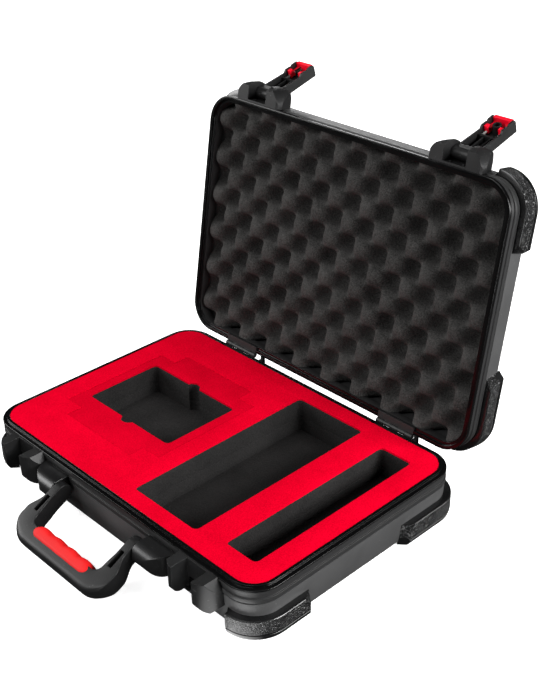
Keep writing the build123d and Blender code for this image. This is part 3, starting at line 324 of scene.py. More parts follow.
def shell_profile(height, neck_end):
    """Half section of a shell: cavity floor, inner wall, neck, shoulder, drafted side and rounded edge.

    On the edge, inset = c - r cos(a) and distance = d + r sin(a) about the centre (c, d). The lean a goes
    from 0 at the side to the far face, and the draft is blended in on the way."""
    drop = np.tan(SHELL_DRAFT)
    far_inset = SHELL_SIDE_INSET + (height - SHELL_SHOULDER) * drop
    lean = np.linspace(0, np.pi / 2 - SHELL_DRAFT, 9)
    done = lean / lean[-1]
    start = SHELL_DRAFT * (1 - done) * (lean > 0)
    edge_inset = far_inset + SHELL_EDGE * (1 - drop / 2) - SHELL_EDGE * np.cos(lean + start)
    edge_level = height - SHELL_EDGE + SHELL_EDGE * np.sin(lean + SHELL_DRAFT * done)
    side_top = SHELL_SIDE_INSET + 0.02
    side = [(side_top + 0.5, SHELL_SHOULDER), (side_top + 0.12, SHELL_SHOULDER + 0.12),
            (side_top, SHELL_SHOULDER + 0.5)]
    floor = height - SHELL_WALL
    inner = [(NECK_INNER_INSET + FLOOR_CHAMFER, floor), (NECK_INNER_INSET, floor - FLOOR_CHAMFER)]
    neck = [(NECK_INNER_INSET, neck_end), (NECK_OUTER_INSET, neck_end), (NECK_OUTER_INSET, SHELL_SHOULDER)]
    return np.concatenate([inner, neck, side, np.transpose([edge_inset, edge_level])])


base_shell = carried_piece("base_shell_moulding",
                           carried_round(shell_profile(BASE_HEIGHT, BASE_NECK_END), up=-1))
finish_piece(base_shell, shell_plastic, "base", "shell_plastic", "base_shell")
lid_shell = carried_piece("lid_shell_moulding", carried_round(shell_profile(LID_HEIGHT, LID_NECK_END), up=1),
                          place=on_open_lid)
finish_piece(lid_shell, shell_plastic, "lid", "shell_plastic", "lid_shell")


# ---- Rim frames ----
# Two closed frames of black plastic, fitted over the necks of the shells. Outside they show two raised bands
# with a recess between them. The base frame ends in a polished tongue, and the lid frame in the polished
# groove that it closes into. The hinge leaves lie in seats cut into the rear run.

RIM_HEIGHT = 16.6
RIM_WIDTH = 8.5
RIM_RECESS = (4.6, 11.2)
RIM_RECESS_SLOPE = 0.3
RIM_RECESS_DEPTH = 1.6
TONGUE_OUTER = 5.0
TONGUE_HEIGHT = 3.0
GROOVE_OUTER = 4.7
GROOVE_DEPTH = 3.3
SEAM_EASE = 0.08
BASE_POLISH = 0.0012
LID_POLISH = 0.0036
POLISH_FADE = 0.0012
HINGE_X = 135.0
HINGE_HALF = 27.7
LEAF_REACH = 9.5
LID_SEAT_DEPTH = 3.3
SEAT_REAR = 170.0
SEAT_CLEAR = 10.0


def distance_along(wiring, direction, start):
    """Distance of a surface point from a starting point, taken along a direction of length 1."""
    along = wiring.vectors("DOT_PRODUCT", wiring.place(), tuple(direction))["Value"]
    return wiring.maths("SUBTRACT", along, float(np.dot(start, direction)))


def rim_plastic(name, seam_point, away, polished):
    """Black plastic, polished down to a depth below the parting plane and matt on the bands beyond it."""
    material, wiring, into = surface(name, IOR=1.49, Specular_IOR_Level=0.28)
    matt = wiring.spread(distance_along(wiring, away, seam_point), polished, polished + POLISH_FADE)
    texture = wiring.group(MOULDED_TEXTURE, Grain_Size=0.0008, Dust=0.3)
    wiring.set(into["Base Color"], between(wiring, matt, (0.002, 0.002, 0.0021), (0.022, 0.022, 0.0223)))
    dull = wiring.spread(matt, 0.0, 1.0, 0.15, 0.36)
    marks = wiring.spread(texture["Flow"], 0.3, 0.7, 0.0, 0.08)
    wiring.set(into["Roughness"], wiring.maths("ADD", dull, marks))
    wiring.set(into["Normal"], wiring.bump(texture["Height"], 0.000008))
    return material


def rim_section(inner_points):
    """Closed section of a rim frame with every corner softly rounded, as pairs of inset and distance from the
    parting plane."""
    near, far = RIM_RECESS
    recess = [(0, near), (RIM_RECESS_DEPTH, near + RIM_RECESS_SLOPE),
              (RIM_RECESS_DEPTH, far - RIM_RECESS_SLOPE), (0, far)]
    section = [(0, SEAM_EASE), *recess, (0, RIM_HEIGHT), (RIM_WIDTH, RIM_HEIGHT), *inner_points]
    radii = np.array([0.9, 0.45, 0.3, 0.3, 0.45, 0.8] + [0.4] * (1 + len(inner_points)))
    return softened(section, radii)


def cut_away(piece, boxes, place=None):
    """Cuts boxes, given by their lowest and highest corner in millimetres, out of a piece."""
    corners = np.array([[x, y, z] for z in (0, 1) for y in (0, 1) for x in (0, 1)])
    quads = [[0, 2, 3, 1], [4, 5, 7, 6], [0, 1, 5, 4], [2, 6, 7, 3], [0, 4, 6, 2], [1, 3, 7, 5]]
    for low, high in boxes:
        points = np.asarray(low) + corners * (np.asarray(high) - np.asarray(low))
        cutter = new_piece("cutter", points, quads, place)
        step = piece.modifiers.new("seat", "BOOLEAN")
        step.operation, step.object, step.solver = "DIFFERENCE", cutter, "EXACT"
        cut = bpy.data.meshes.new_from_object(piece.evaluated_get(bpy.context.evaluated_depsgraph_get()))
        piece.modifiers.remove(step)
        piece.data = cut
        bpy.data.objects.remove(cutter)
    piece.data.shade_smooth()
    piece.data.set_sharp_from_angle(angle=np.radians(35.0))


def leaf_seats(low, high):
    """Boxes to cut for the leaves of the two hinges, between two heights in the shut case."""
    front = CASE_HALF_DEPTH - LEAF_REACH
    return [((s * HINGE_X - HINGE_HALF, front, low), (s * HINGE_X + HINGE_HALF, SEAT_REAR, high))
            for s in (-1, 1)]


tongue = [(RIM_WIDTH, -TONGUE_HEIGHT), (TONGUE_OUTER, -TONGUE_HEIGHT), (TONGUE_OUTER, SEAM_EASE)]
base_rim = carried_piece("base_rim_moulding", carried_round(rim_section(tongue), up=-1), close_rows=True)
cut_away(base_rim, leaf_seats(BASE_HEIGHT, BASE_HEIGHT + SEAT_CLEAR))
base_rim_plastic = rim_plastic("base rim plastic", (0, 0, BASE_HEIGHT * METRE), (0, 0, -1), BASE_POLISH)
finish_piece(base_rim, base_rim_plastic, "base", "rim_plastic", "base_rim_frame")

groove = [(RIM_WIDTH, GROOVE_DEPTH), (GROOVE_OUTER, GROOVE_DEPTH), (GROOVE_OUTER, SEAM_EASE)]
lid_rim = carried_piece("lid_rim_moulding", carried_round(rim_section(groove), up=1), place=on_open_lid,
                        close_rows=True)
lid_seats = leaf_seats(BASE_HEIGHT - SEAT_CLEAR, BASE_HEIGHT + LID_SEAT_DEPTH)
cut_away(lid_rim, lid_seats, place=on_open_lid)
lid_seam, lid_seam_above = on_open_lid([[0, 0, BASE_HEIGHT], [0, 0, BASE_HEIGHT + 1]])
lid_rim_plastic = rim_plastic("lid rim plastic", lid_seam * METRE, lid_seam_above - lid_seam, LID_POLISH)
finish_piece(lid_rim, lid_rim_plastic, "lid", "rim_plastic", "lid_rim_frame")


# ---- Corner guards ----
# Eight bumpers of harder black plastic over the outer corners, glued on and screwed from inside. The upright
# face has a coarse leather grain from the mould. A thin groove parts it from a smooth skirt, and it ends in a
# flat ledge. Both ends are cut on a slope, and the one on the side has a bevel.

GUARD_OUTSET = 7.0
GUARD_HEIGHT = 26.0
GUARD_SKIRT = 7.0
GUARD_GROOVE = 0.8
GUARD_ARMS = {"front": (38.0, 78.0), "rear": (60.0, 96.0)}
GUARD_SUNK = 0.8
END_SLOPE, END_START = 12 / 14, -6.0
BEVEL_START, BEVEL_RISE, BEVEL_LEAN = 17.5, 0.95, 0.6


def leather_grain():
    """Wrinkled grain. Height is the distance to the edges of small bent cells, plus a finer noise. Mask is 1
    where Level, the height above the far face, is between From and To, and Height fades beyond."""
    group, wiring, given, out = effect_group(
        "leather grain", {"Cell Size": 0.0016, "Level": 0.0, "From": 0.0, "To": 1.0}, ["Height", "Mask"])
    scale = wiring.maths("DIVIDE", 1.0, given["Cell Size"])
    bend = wiring.noise(wiring.maths("MULTIPLY", scale, 0.6), 2.0)["Color"]
    reach, fade = 0.0012, 0.0008
    shift = wiring.vectors("MULTIPLY", bend, (reach, reach, reach))["Vector"]
    cells = wiring.add("ShaderNodeTexVoronoi", {"feature": "DISTANCE_TO_EDGE"}, Scale=scale,
                       Vector=wiring.vectors("ADD", wiring.place(), shift)["Vector"])
    fine = wiring.noise(wiring.maths("MULTIPLY", scale, 2.2), 3.0)["Fac"]
    pillow = wiring.spread(cells.outputs["Distance"], 0.0, 0.28)
    above = wiring.spread(given["Level"], given["From"], wiring.maths("ADD", given["From"], fade))
    below = wiring.spread(given["Level"], wiring.maths("SUBTRACT", given["To"], fade), given["To"], 1.0, 0.0)
    mask = wiring.maths("MULTIPLY", above, below)
    height = wiring.maths("ADD", pillow, wiring.maths("MULTIPLY", fine, 0.5))
    wiring.set(out["Height"], wiring.maths("MULTIPLY", height, mask))
    wiring.set(out["Mask"], mask)
    return group


LEATHER_GRAIN = leather_grain()


def guard_plastic(name, far_point, towards_rim):
    """Hard black plastic with leather grain on the band between the groove and the top ledge."""
    material, wiring, into = surface(name, IOR=1.5, Specular_IOR_Level=0.6)
    level = distance_along(wiring, towards_rim, far_point)
    grain = wiring.group(LEATHER_GRAIN, Cell_Size=0.0024, Level=level, To=(GUARD_HEIGHT - 0.8) * METRE,
                         From=(GUARD_SKIRT + GUARD_GROOVE + 0.4) * METRE)
    texture = wiring.group(MOULDED_TEXTURE, Grain_Size=0.0006, Dust=0.4)
    tone = between(wiring, grain["Mask"], (0.004, 0.004, 0.0042), (0.006, 0.006, 0.0062))
    wiring.set(into["Base Color"], tone)
    dull = wiring.spread(texture["Flow"], 0.3, 0.7, 0.22, 0.30)
    wiring.set(into["Roughness"], wiring.maths("ADD", dull, wiring.maths("MULTIPLY", grain["Mask"], 0.04)))
    fine = wiring.bump(texture["Height"], 0.00001)
    wiring.set(into["Normal"], wiring.bump(grain["Height"], 0.0008, Normal=fine))
    return material


def guard_section(height):
    """Closed section of a guard, as pairs of outset from the rim's outside and height above the far face. The
    skirt, the groove and the ledge's edge are given by their depth behind the face. The inner side is sunk
    a little into the drafted side of the shell."""
    lip = GUARD_SKIRT + GUARD_GROOVE
    foot, top = (-SHELL_SIDE_INSET - (height - SHELL_SHOULDER - z) * np.tan(SHELL_DRAFT) - GUARD_SUNK
                 for z in (0, GUARD_HEIGHT))
    skirt = [(3.4, 0.0), (2.2, 0.5), (1.35, 1.5), (0.8, 3.2), (0.3, 5.2), (0.05, GUARD_SKIRT - 0.4)]
    groove = [(0.3, GUARD_SKIRT - 0.05), (0.95, GUARD_SKIRT + 0.1), (0.95, lip - 0.1), (0.25, lip + 0.05)]
    face = [(0.0, z) for z in np.linspace(lip + 0.5, GUARD_HEIGHT - 1.6, 9)]
    ledge = [(0.12, GUARD_HEIGHT - 0.8), (0.5, GUARD_HEIGHT - 0.3), (1.2, GUARD_HEIGHT)]
    outside = [(GUARD_OUTSET - depth, z) for depth, z in skirt + groove + face + ledge]
    return np.array([(foot, 0.0), *outside, (top, GUARD_HEIGHT)])


def guard_points(height, right, ahead, face_arm, side_arm):
    """A guard's section carried round one corner, from the end of its arm on the front or rear face to the
    end of its arm on the side.

    Both ends lie on planes that slope with the outset. The end on the side is cut back further by a bevel
    that grows with height and outset."""
    section = guard_section(height)
    o, z = section[:, :1], section[:, 1:]
    slope = (o - END_START) * END_SLOPE + END_START
    bevel = slope + BEVEL_RISE * (z - BEVEL_START) + BEVEL_LEAN * (o - GUARD_OUTSET)
    near_x = CASE_HALF_WIDTH - face_arm + slope
    near_y = CASE_HALF_DEPTH - side_arm + np.maximum(slope, bevel)
    centre_x, centre_y = CASE_HALF_WIDTH - CASE_CORNER, CASE_HALF_DEPTH - CASE_CORNER
    angle = np.linspace(np.pi / 2, 0, 15)
    run = np.linspace(0, 1, 9)[:-1]
    radius = CASE_CORNER + o
    x = np.concatenate([near_x + (centre_x - near_x) * run, centre_x + radius * np.cos(angle),
                        np.repeat(CASE_HALF_WIDTH + o, 8, axis=1)], axis=1)
    y = np.concatenate([np.repeat(CASE_HALF_DEPTH + o, 8, axis=1), centre_y + radius * np.sin(angle),
                        centre_y + (near_y - centre_y) * (run + 0.125)], axis=1)
    return np.dstack([right * x, ahead * y, np.broadcast_to(z, x.shape)])


def add_guards(body, height, to_place, material):
    """Four guards on one half of the case, one at each corner."""
    for right, side_name in ((-1, "left"), (1, "right")):
        for ahead, face_name in ((-1, "front"), (1, "rear")):
            grid = guard_points(height, right, ahead, *GUARD_ARMS[face_name])
            piece = carried_piece(f"{body}_guard_{face_name}_{side_name}", grid, place=to_place,
                                  close_rows=True, close_columns=False, smooth_angle=28.0)
            finish_piece(piece, material, body, "guard_plastic", f"{body}_corner_guards")


def shut_lid_from_far_face(points):
    """Guard heights are counted from the far face, which on the lid is its top."""
    return on_open_lid(points * [1, 1, -1] + [0, 0, BASE_HEIGHT + LID_HEIGHT])


lid_top_point = on_open_lid([[0, 0, BASE_HEIGHT + LID_HEIGHT]])[0] * METRE
lid_towards_rim = (on_open_lid([[0, 0, 0]]) - on_open_lid([[0, 0, 1]]))[0]
add_guards("base", BASE_HEIGHT, None, guard_plastic("base guard plastic", (0, 0, 0), (0, 0, 1)))
add_guards("lid", LID_HEIGHT, shut_lid_from_far_face,
           guard_plastic("lid guard plastic", lid_top_point, lid_towards_rim))


# ---- Grey foam in the base ----
# Three sheets of charcoal open-cell foam, stacked: a floor pad, a lower layer and an upper layer, cut through
# with the pockets. A block of the same foam with the effects pocket drops into the upper layer as an insert.
# The cut edges are soft, so a dark line shows where two sheets meet.

FLOOR_TOP = 15.0
LOWER_TOP = 35.0
GREY_TOP = 59.5
FACE_TOP = 62.5
INSERT_DROP = 0.6
POCKET_CORNER = 6.0
EFFECTS_CENTRE, EFFECTS_WIDTH, EFFECTS_LENGTH = (-106.5, 3.0), 153.0, 106.0
NOTCH_RADIUS, NOTCH_SHIFT = 11.5, 48.5
INSERT_CENTRE, INSERT_WIDTH, INSERT_LENGTH = (-105.5, 1.0), 179.0, 192.0
INSERT_NOTCH_X, INSERT_NOTCH_Y = 28.0, 21.0
FOAM_SLACK = 0.3
FOAM_EDGE = 0.8
NECK_FIT = NECK_INNER_INSET + FOAM_SLACK
RIM_FIT = RIM_WIDTH + FOAM_SLACK
ACCESSORY_FLOOR = 22.5
EFFECTS_FLOOR = 20.5
INSERT_TOP = GREY_TOP - INSERT_DROP


def foam_cells():
    """Cell structure of cut foam. Height has rounded pores of two sizes, and Pore Shade is their painted
    shade:
    it follows the finer pores' height, so the colour is darker where they sink.
    """
    group, wiring, given, out = effect_group("foam cells", {"Cell Size": 0.0009}, ["Height", "Pore Shade"])
    scale = wiring.maths("DIVIDE", 1.0, given["Cell Size"])
    big = wiring.add("ShaderNodeTexVoronoi", {"feature": "SMOOTH_F1"}, Vector=wiring.place(), Scale=scale)
    small = wiring.noise(wiring.maths("MULTIPLY", scale, 1.7), 3.0, 0.7)["Fac"]
    sunk = wiring.maths("MULTIPLY", wiring.spread(big.outputs["Distance"], 0.15, 0.55), -0.5)
    wiring.set(out["Height"], wiring.maths("ADD", sunk, small))
    # Painted shade: the colour mask follows the finer pores' height, so the foam is darker where they sink.
    wiring.set(out["Pore Shade"], wiring.spread(small, 0.35, 0.65))
    return group


FOAM_CELLS = foam_cells()


def foam_surface(name, dark, light, cell_size, depth, specular=0.2):
    """Cut foam: matt, with its pores in the bump and their painted shade in the colour, and faint broad
    shading from handling.
    """
    material, wiring, into = surface(name, Roughness=0.95, Specular_IOR_Level=specular)
    cells = wiring.group(FOAM_CELLS, Cell_Size=cell_size)
    broad = wiring.spread(wiring.noise(22.0, 3.0, 0.6)["Fac"], 0.35, 0.65, 0.0, 0.3)
    # The pores' painted shade darkens the colour where they sink, and the broad noise adds random tone.
    share = wiring.maths("ADD", wiring.maths("MULTIPLY", cells["Pore Shade"], 0.7), broad)
    wiring.set(into["Base Color"], between(wiring, share, dark, light))
    wiring.set(into["Normal"], wiring.bump(cells["Height"], depth))
    return material


grey_foam = foam_surface("grey foam", (0.007, 0.0068, 0.0068), (0.025, 0.0238, 0.0234),
                         cell_size=0.0026, depth=0.0005)


def case_loop(inset):
    """Outline of foam that fills the case, a given distance inside the rim's outside."""
    return lambda away: case_outline(inset + away, run_steps=8)


def pocket_loop(x, y, width, length):
    """Outline of a pocket with rounded corners, grown by a given distance."""
    return lambda grow: rounded_outline(width / 2 + grow, length / 2 + grow, POCKET_CORNER + grow,
                                        arc_steps=8, run_steps=8) + [x, y]


def effects_loop(grow):
    """Effects pocket: a rounded rectangle with a round finger notch in the middle of its two long sides. The
    notch meets the side where its circle crosses it."""
    half_x, half_y, corner = EFFECTS_WIDTH / 2 + grow, EFFECTS_LENGTH / 2 + grow, POCKET_CORNER + grow
    notch_radius = NOTCH_RADIUS + grow
    meet = np.arccos((half_y - NOTCH_SHIFT) / notch_radius)
    quarter = np.linspace(0, np.pi / 2, 9)
    bulge = np.linspace(meet, -meet, 13)
    right_top = corner * np.stack([np.cos(quarter), np.sin(quarter)], 1) + [half_x - corner, half_y - corner]
    notch = notch_radius * np.stack([np.sin(bulge), np.cos(bulge)], 1) + [0, NOTCH_SHIFT]
    top = np.concatenate([right_top, notch, right_top[::-1] * [-1, 1]])
    return np.concatenate([top, top[::-1] * [1, -1]]) + EFFECTS_CENTRE


def insert_loop(grow):
    """Insert: a rectangle with its four corners notched out, grown by a given distance."""
    half_x, half_y = INSERT_WIDTH / 2 + grow, INSERT_LENGTH / 2 + grow
    step_x, step_y = half_x - INSERT_NOTCH_X, half_y - INSERT_NOTCH_Y
    corner = np.array([(half_x, 0), (half_x, step_y), (step_x, step_y), (step_x, half_y), (0, half_y)])
    top = np.concatenate([corner, corner[-2::-1] * [-1, 1]])
    return np.concatenate([top, top[-2:0:-1] * [1, -1]]) + INSERT_CENTRE


def foam_sheet(name, bottom, top, outer, holes, soft_edge):
    """A closed foam sheet between two heights. Each outline is a function of an offset: the outer one moves
    inwards with it and a hole grows with it. A hole is an outline and its floor's height, and one whose floor
    is the sheet's bottom goes through.

    Walls rise at offset 0 and turn over into the top and the bottom on quarter circles, and the flat faces
    between the outlines are filled with triangles."""
    turn = np.linspace(0, np.pi / 2, 5)
    rise = np.linspace(0, 1, 4)[1:-1]
    points, faces, firsts, lasts, count = [], [], [], [], 0
    for loop, floor in [(outer, bottom)] + holes:
        through = floor == bottom
        foot = turn if through else turn[-1:]
        low = floor + soft_edge * through
        offsets = np.concatenate([soft_edge * (1 - np.sin(foot)), 0 * rise, soft_edge * (1 - np.cos(turn))])
        heights = np.concatenate([low - soft_edge * np.cos(foot), low + (top - soft_edge - low) * rise,
                                  top - soft_edge * (1 - np.sin(turn))])
        grid = raised([loop(offset) for offset in offsets], heights)
        rows, columns = grid.shape[:2]
        points.append(grid.reshape(-1, 3))
        faces += grid_faces(rows, columns, close_columns=True, first=count)
        first_ring = count + np.arange(columns)
        lasts.append(first_ring + (rows - 1) * columns)
        if through:
            firsts.append(first_ring)
        else:
            faces.append(first_ring.tolist())
        count += rows * columns
    points = np.concatenate(points)
    for rims in (firsts, lasts):
        triangles = tessellate_polygon([[Vector(p) for p in points[rim]] for rim in rims])
        joined = np.concatenate(rims)
        faces += [[int(joined[i]) for i in triangle] for triangle in triangles]
    return new_piece(name, points, faces, smooth_angle=40.0)


def add_foam(piece, material, body, slot, replaced):
    """Finishes a foam piece."""
    finish_piece(piece, material, body, slot, replaced)


pedal_pocket = pocket_loop(x=62.0, y=0.0, width=105.0, length=260.0)
accessory_pocket = pocket_loop(x=174.0, y=0.0, width=46.0, length=242.0)


def insert_hole(grow):
    """Opening that the insert drops into."""
    return insert_loop(FOAM_SLACK + grow)


def insert_outline(away):
    """Outline of the insert, moved inwards by a distance."""
    return insert_loop(-away)


lower_holes = [(pedal_pocket, FLOOR_TOP), (accessory_pocket, ACCESSORY_FLOOR), (effects_loop, EFFECTS_FLOOR)]
upper_holes = [(pedal_pocket, LOWER_TOP), (accessory_pocket, LOWER_TOP), (insert_hole, LOWER_TOP)]
for name, bottom, top, outer, holes, replaced in (
    ("floor_pad_foam", SHELL_WALL, FLOOR_TOP, case_loop(NECK_FIT), [], "foam_floor_pad"),
    ("lower_foam", FLOOR_TOP, LOWER_TOP, case_loop(NECK_FIT), lower_holes, "foam_lower"),
    ("upper_foam", LOWER_TOP, GREY_TOP, case_loop(RIM_FIT), upper_holes, "foam_upper"),
    ("insert_foam", LOWER_TOP, INSERT_TOP, insert_outline, [(effects_loop, LOWER_TOP)], "insert_block"),
):
    sheet = foam_sheet(name, bottom, top, outer, holes, FOAM_EDGE)
    add_foam(sheet, grey_foam, "base", "grey_foam", replaced)


# ---- Red foam faces ----
# A thin red sheet of closed-cell foam is bonded on top of the grey foam, and a second one on the insert. Both
# were cut with their grey foam, so their outlines match. The insert lies a little lower.

FACE_EDGE = 0.5
red_foam = foam_surface("red foam", (0.46, 0.0004, 0.010), (0.74, 0.0006, 0.020),
                        cell_size=0.0024, depth=0.0002, specular=0.0)
red_insert_foam = foam_surface("red insert foam", (0.40, 0.0004, 0.009), (0.64, 0.0006, 0.017),
                               cell_size=0.0024, depth=0.0002, specular=0.0)
face_holes = [(pedal_pocket, GREY_TOP), (accessory_pocket, GREY_TOP), (insert_hole, GREY_TOP)]
red_face = foam_sheet("red_foam_face", GREY_TOP, FACE_TOP, case_loop(RIM_FIT), face_holes, FACE_EDGE)
red_insert = foam_sheet("red_foam_insert", INSERT_TOP, FACE_TOP - INSERT_DROP, insert_outline,
                        [(effects_loop, INSERT_TOP)], FACE_EDGE)
add_foam(red_face, red_foam, "base", "red_foam", "foam_face")
add_foam(red_insert, red_insert_foam, "base", "red_foam", "insert_face")


# ---- Egg-crate foam in the lid ----
# One block of charcoal foam, cut by a convoluting machine into staggered rounded fingers and pits, and glued
# into the lid. Its fingers press on what lies in the base when the lid is shut.

EGG_PITCH = 25.26
EGG_TIP = 4.5
EGG_PIT = 33.0
EGG_BACK = 43.0
EGG_UNEVEN = 0.5


def egg_crate_depth(x, y):
    """Distance of the foam's face from the rim plane.

    h = cos(pi (x - 11) / pitch) cos(pi (y + 1) / pitch) is 1 on the fingers and -1 in the pits. The shaped
    value g = tanh(1.2 k) / tanh(1.2), with k = h + (1 - h^2) / 4, widens the fingers more than the pits. The
    distance is tip + (pit - tip)(1 - g) / 2, and two slow waves make the fingers uneven."""
    h = np.cos(np.pi * (x - 11) / EGG_PITCH) * np.cos(np.pi * (y + 1) / EGG_PITCH)
    g = np.tanh(1.2 * (h + (1 - h**2) / 4)) / np.tanh(1.2)
    waves = np.sin(x / 17.0 + 2 * np.sin(y / 23.0)) + np.sin(y / 13.0 + 2 * np.sin(x / 31.0))
    return EGG_TIP + (EGG_PIT - EGG_TIP) * (1 - g) / 2 + EGG_UNEVEN * (1 + waves / 2)


def egg_crate_block(name):
    """The egg-crate face as a grid whose rows are as wide as the rounded outline at their y, with side walls
    down to a flat back."""
    half_x, half_y, corner = CASE_HALF_WIDTH - RIM_FIT, CASE_HALF_DEPTH - RIM_FIT, CASE_CORNER - RIM_FIT
    along = np.sin(np.linspace(-np.pi / 2, np.pi / 2, 25)[:12])
    ends = half_y - corner + corner * np.abs(along)
    y = np.concatenate([-ends, np.linspace(-(half_y - corner), half_y - corner, 150), ends[::-1]])
    past = np.clip(np.abs(y) - (half_y - corner), 0, corner)
    row_half = half_x - corner + np.sqrt(corner**2 - past**2)
    x, y = np.broadcast_arrays(row_half[:, None] * np.linspace(-1, 1, 281), y[:, None])
    top = np.dstack([x, y, BASE_HEIGHT + egg_crate_depth(x, y)]).reshape(-1, 3)
    index = np.arange(x.size).reshape(x.shape)
    ring = np.concatenate([index[0, :-1], index[:-1, -1], index[-1, :0:-1], index[:0:-1, 0]])
    back = top[ring] * [1, 1, 0] + [0, 0, BASE_HEIGHT + EGG_BACK]
    middle = (top[ring] + back) / 2
    walls = np.concatenate([ring, x.size + np.arange(2 * len(ring))])
    wall_faces = walls[np.array(grid_faces(3, len(ring), close_columns=True))]
    faces = grid_faces(*x.shape) + wall_faces.tolist() + [walls[-len(ring):].tolist()]
    points = np.concatenate([top, middle, back])
    return new_piece(name, points, faces, place=on_open_lid, smooth_angle=60.0)


lid_foam_material = foam_surface("lid foam", (0.006, 0.0058, 0.0056), (0.064, 0.0620, 0.0600),
                                 cell_size=0.0026, depth=0.0006)
add_foam(egg_crate_block("egg_crate_foam"), lid_foam_material, "lid", "grey_foam", "lid_foam")


# ---- Hinges and lid stops ----
# Two butt hinges of folded sheet steel, painted dark grey, with a plain steel pin, riveted to both rim frames
# with countersunk rivets. Two bent steel straps behind them stop the open lid.

both = ("left", "right")


def paint(material, *names):
    """Puts a material on CAD nodes through their slots. A name with {} is a left and a right node."""
    for name in names:
        for side in both if "{}" in name else ("",):
            mesh = cad_nodes[name.format(side)].data
            mesh.materials.clear()
            mesh.materials.append(material)


def metal(name, colour, rough, scratch, round_edge, metallic=1.0):
    """Plated or painted steel. Fine scratches move its roughness between two values."""
    material, wiring, into = surface(name, Metallic=metallic)
    texture = wiring.group(MOULDED_TEXTURE, Grain_Size=scratch, Flow_Size=0.012, Dust=0.25)
    darker = tuple(c * 0.82 for c in colour)
    tone = between(wiring, wiring.spread(texture["Flow"], 0.3, 0.7), darker, colour)
    wiring.set(into["Base Color"], tone)
    wiring.set(into["Roughness"], wiring.spread(texture["Height"], 0.3, 0.7, *rough))
    edges = wiring.rounded(round_edge)
    wiring.set(into["Normal"], wiring.bump(texture["Height"], 0.000006, Normal=edges))
    return material


hinge_paint = metal("hinge paint", (0.006, 0.006, 0.0062), rough=(0.48, 0.60), scratch=0.0005,
                    round_edge=0.0003, metallic=0.0)
plated_steel = metal("plated steel", (0.56, 0.55, 0.53), rough=(0.24, 0.38), scratch=0.0004,
                     round_edge=0.00015)
paint(hinge_paint, "hinge_base_leaf_{}", "hinge_lid_leaf_{}", "hinge_base_rivets", "hinge_lid_rivets",
      "lid_stops")
paint(plated_steel, "hinge_pin_{}")


# ---- Latch keepers, strikes and housings ----
# Moulded black blocks riveted to the rims: keepers with two ears and a folded steel strike on the base, and
# housings with two cheeks that carry the latch pin on the lid.

latch_plastic = moulded_plastic("latch plastic", (0.007, 0.007, 0.0072), (0.012, 0.012, 0.0123),
                                rough=(0.38, 0.46), grain=(0.0006, 0.000008), round_edge=0.0007,
                                specular=0.3)
paint(latch_plastic, "keeper_{}", "latch_housing_{}")
blackened_steel = metal("blackened steel", (0.05, 0.05, 0.052), rough=(0.24, 0.36), scratch=0.0005,
                        round_edge=0.0003)
paint(blackened_steel, "strike_{}", "keeper_rivets", "housing_rivets")


# ---- Latch arms, buttons and locks ----
# Each latch is a black U-channel on a steel pin, flipped up here. A red sprung button slides in its end and
# its claws hold the strike's hooks. The left arm has a chrome key lock and the right one a plain round plug.

SLIDE_AXIS = np.array([0.0, -0.96363, -0.267238])
red_plastic = moulded_plastic("red plastic", (0.86, 0.003, 0.021), (0.96, 0.004, 0.026),
                              rough=(0.28, 0.38), grain=(0.0006, 0.000008), round_edge=0.0005, dust=0.1)
chrome = metal("lock chrome", (0.72, 0.72, 0.73), rough=(0.06, 0.16), scratch=0.0004, round_edge=0.0002)
paint(latch_plastic, "latch_arm_{}", "lock_plug_right")
paint(red_plastic, "release_button_{}")
paint(plated_steel, "latch_pin_{}")
paint(chrome, "lock_barrel_left")


def bent_springs(side):
    """The latch's two folded spring strips, copied as they are onto the latch's body in plated steel. They
    shorten towards the bulkhead as the button slides in, but here they keep their shape. Their fixed end is
    the one that reaches furthest along the slide; that point is found, and nothing uses it."""
    node = cad_nodes[f"release_spring_{side}"]
    strips = new_object(f"release_spring_strips_{side}", node.data.copy())
    finish_piece(strips, plated_steel, f"latch_{side}", "plated_steel", node.name)
    points = np.empty(3 * len(strips.data.vertices))
    strips.data.vertices.foreach_get("co", points)
    points = points.reshape(-1, 3)
    along = points @ SLIDE_AXIS
    points[along.argmax()].tolist()
    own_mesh(strips)


for side in both:
    bent_springs(side)


# ---- Handle brackets and pins ----
# Two moulded black brackets stand out from the front beside the handle. Each holds a steel pin, on which one
# arm of the handle turns.

bracket_plastic = moulded_plastic("bracket plastic", (0.006, 0.006, 0.0062), (0.009, 0.009, 0.0092),
                                  rough=(0.28, 0.38), grain=(0.0007, 0.00001), round_edge=0.0016)
paint(bracket_plastic, "handle_bracket_{}")
paint(plated_steel, "handle_pin_{}")


# ---- Carrying handle ----
# A stiff bow moulded in black plastic, hanging down on its two pins. Its arms have crisp edges and a slot
# that saves plastic, and the outer side of its bar is strongly rounded.

HANDLE_PIVOT = np.array([0.0, -174.5, 38.0])
HANDLE_HANG = np.radians(26.507)
HANDLE_TOP, HANDLE_UNDER = 13.0, -9.0
BOSS_RADIUS, BOSS_MIDDLE = 11.0, 2.0
HANDLE_REACH, BAR_INNER = 72.0, 47.0
ARM_OUTER, ARM_INNER = 82.5, 60.5
ROOT_OUTER, ROOT_INNER = 74.0, 62.5
BOW_CORNER, BOW_INNER_CORNER = 28.0, 10.0
FLARE = (15.0, 38.0)
ARM_EDGES = np.array([2.0, 2.2, 1.3, 1.3])
BAR_EDGES = np.array([2.0, 9.2, 8.8, 1.3])
BAR_START, BAR_BLEND = 52.0, 14.0
SLOT_START, SLOT_END, SLOT_HALF, SLOT_DEPTH = 13.0, 35.0, 3.0, 9.0


def on_handle(points):
    """Points given across the case, along the hanging handle from its pivot and up from the pivot, carried to
    their place."""
    x, along, up = np.moveaxis(np.asarray(points, float), -1, 0)
    c, s = np.cos(HANDLE_HANG), np.sin(HANDLE_HANG)
    return np.stack([x, -c * along - s * up, -s * along + c * up], axis=-1) + HANDLE_PIVOT


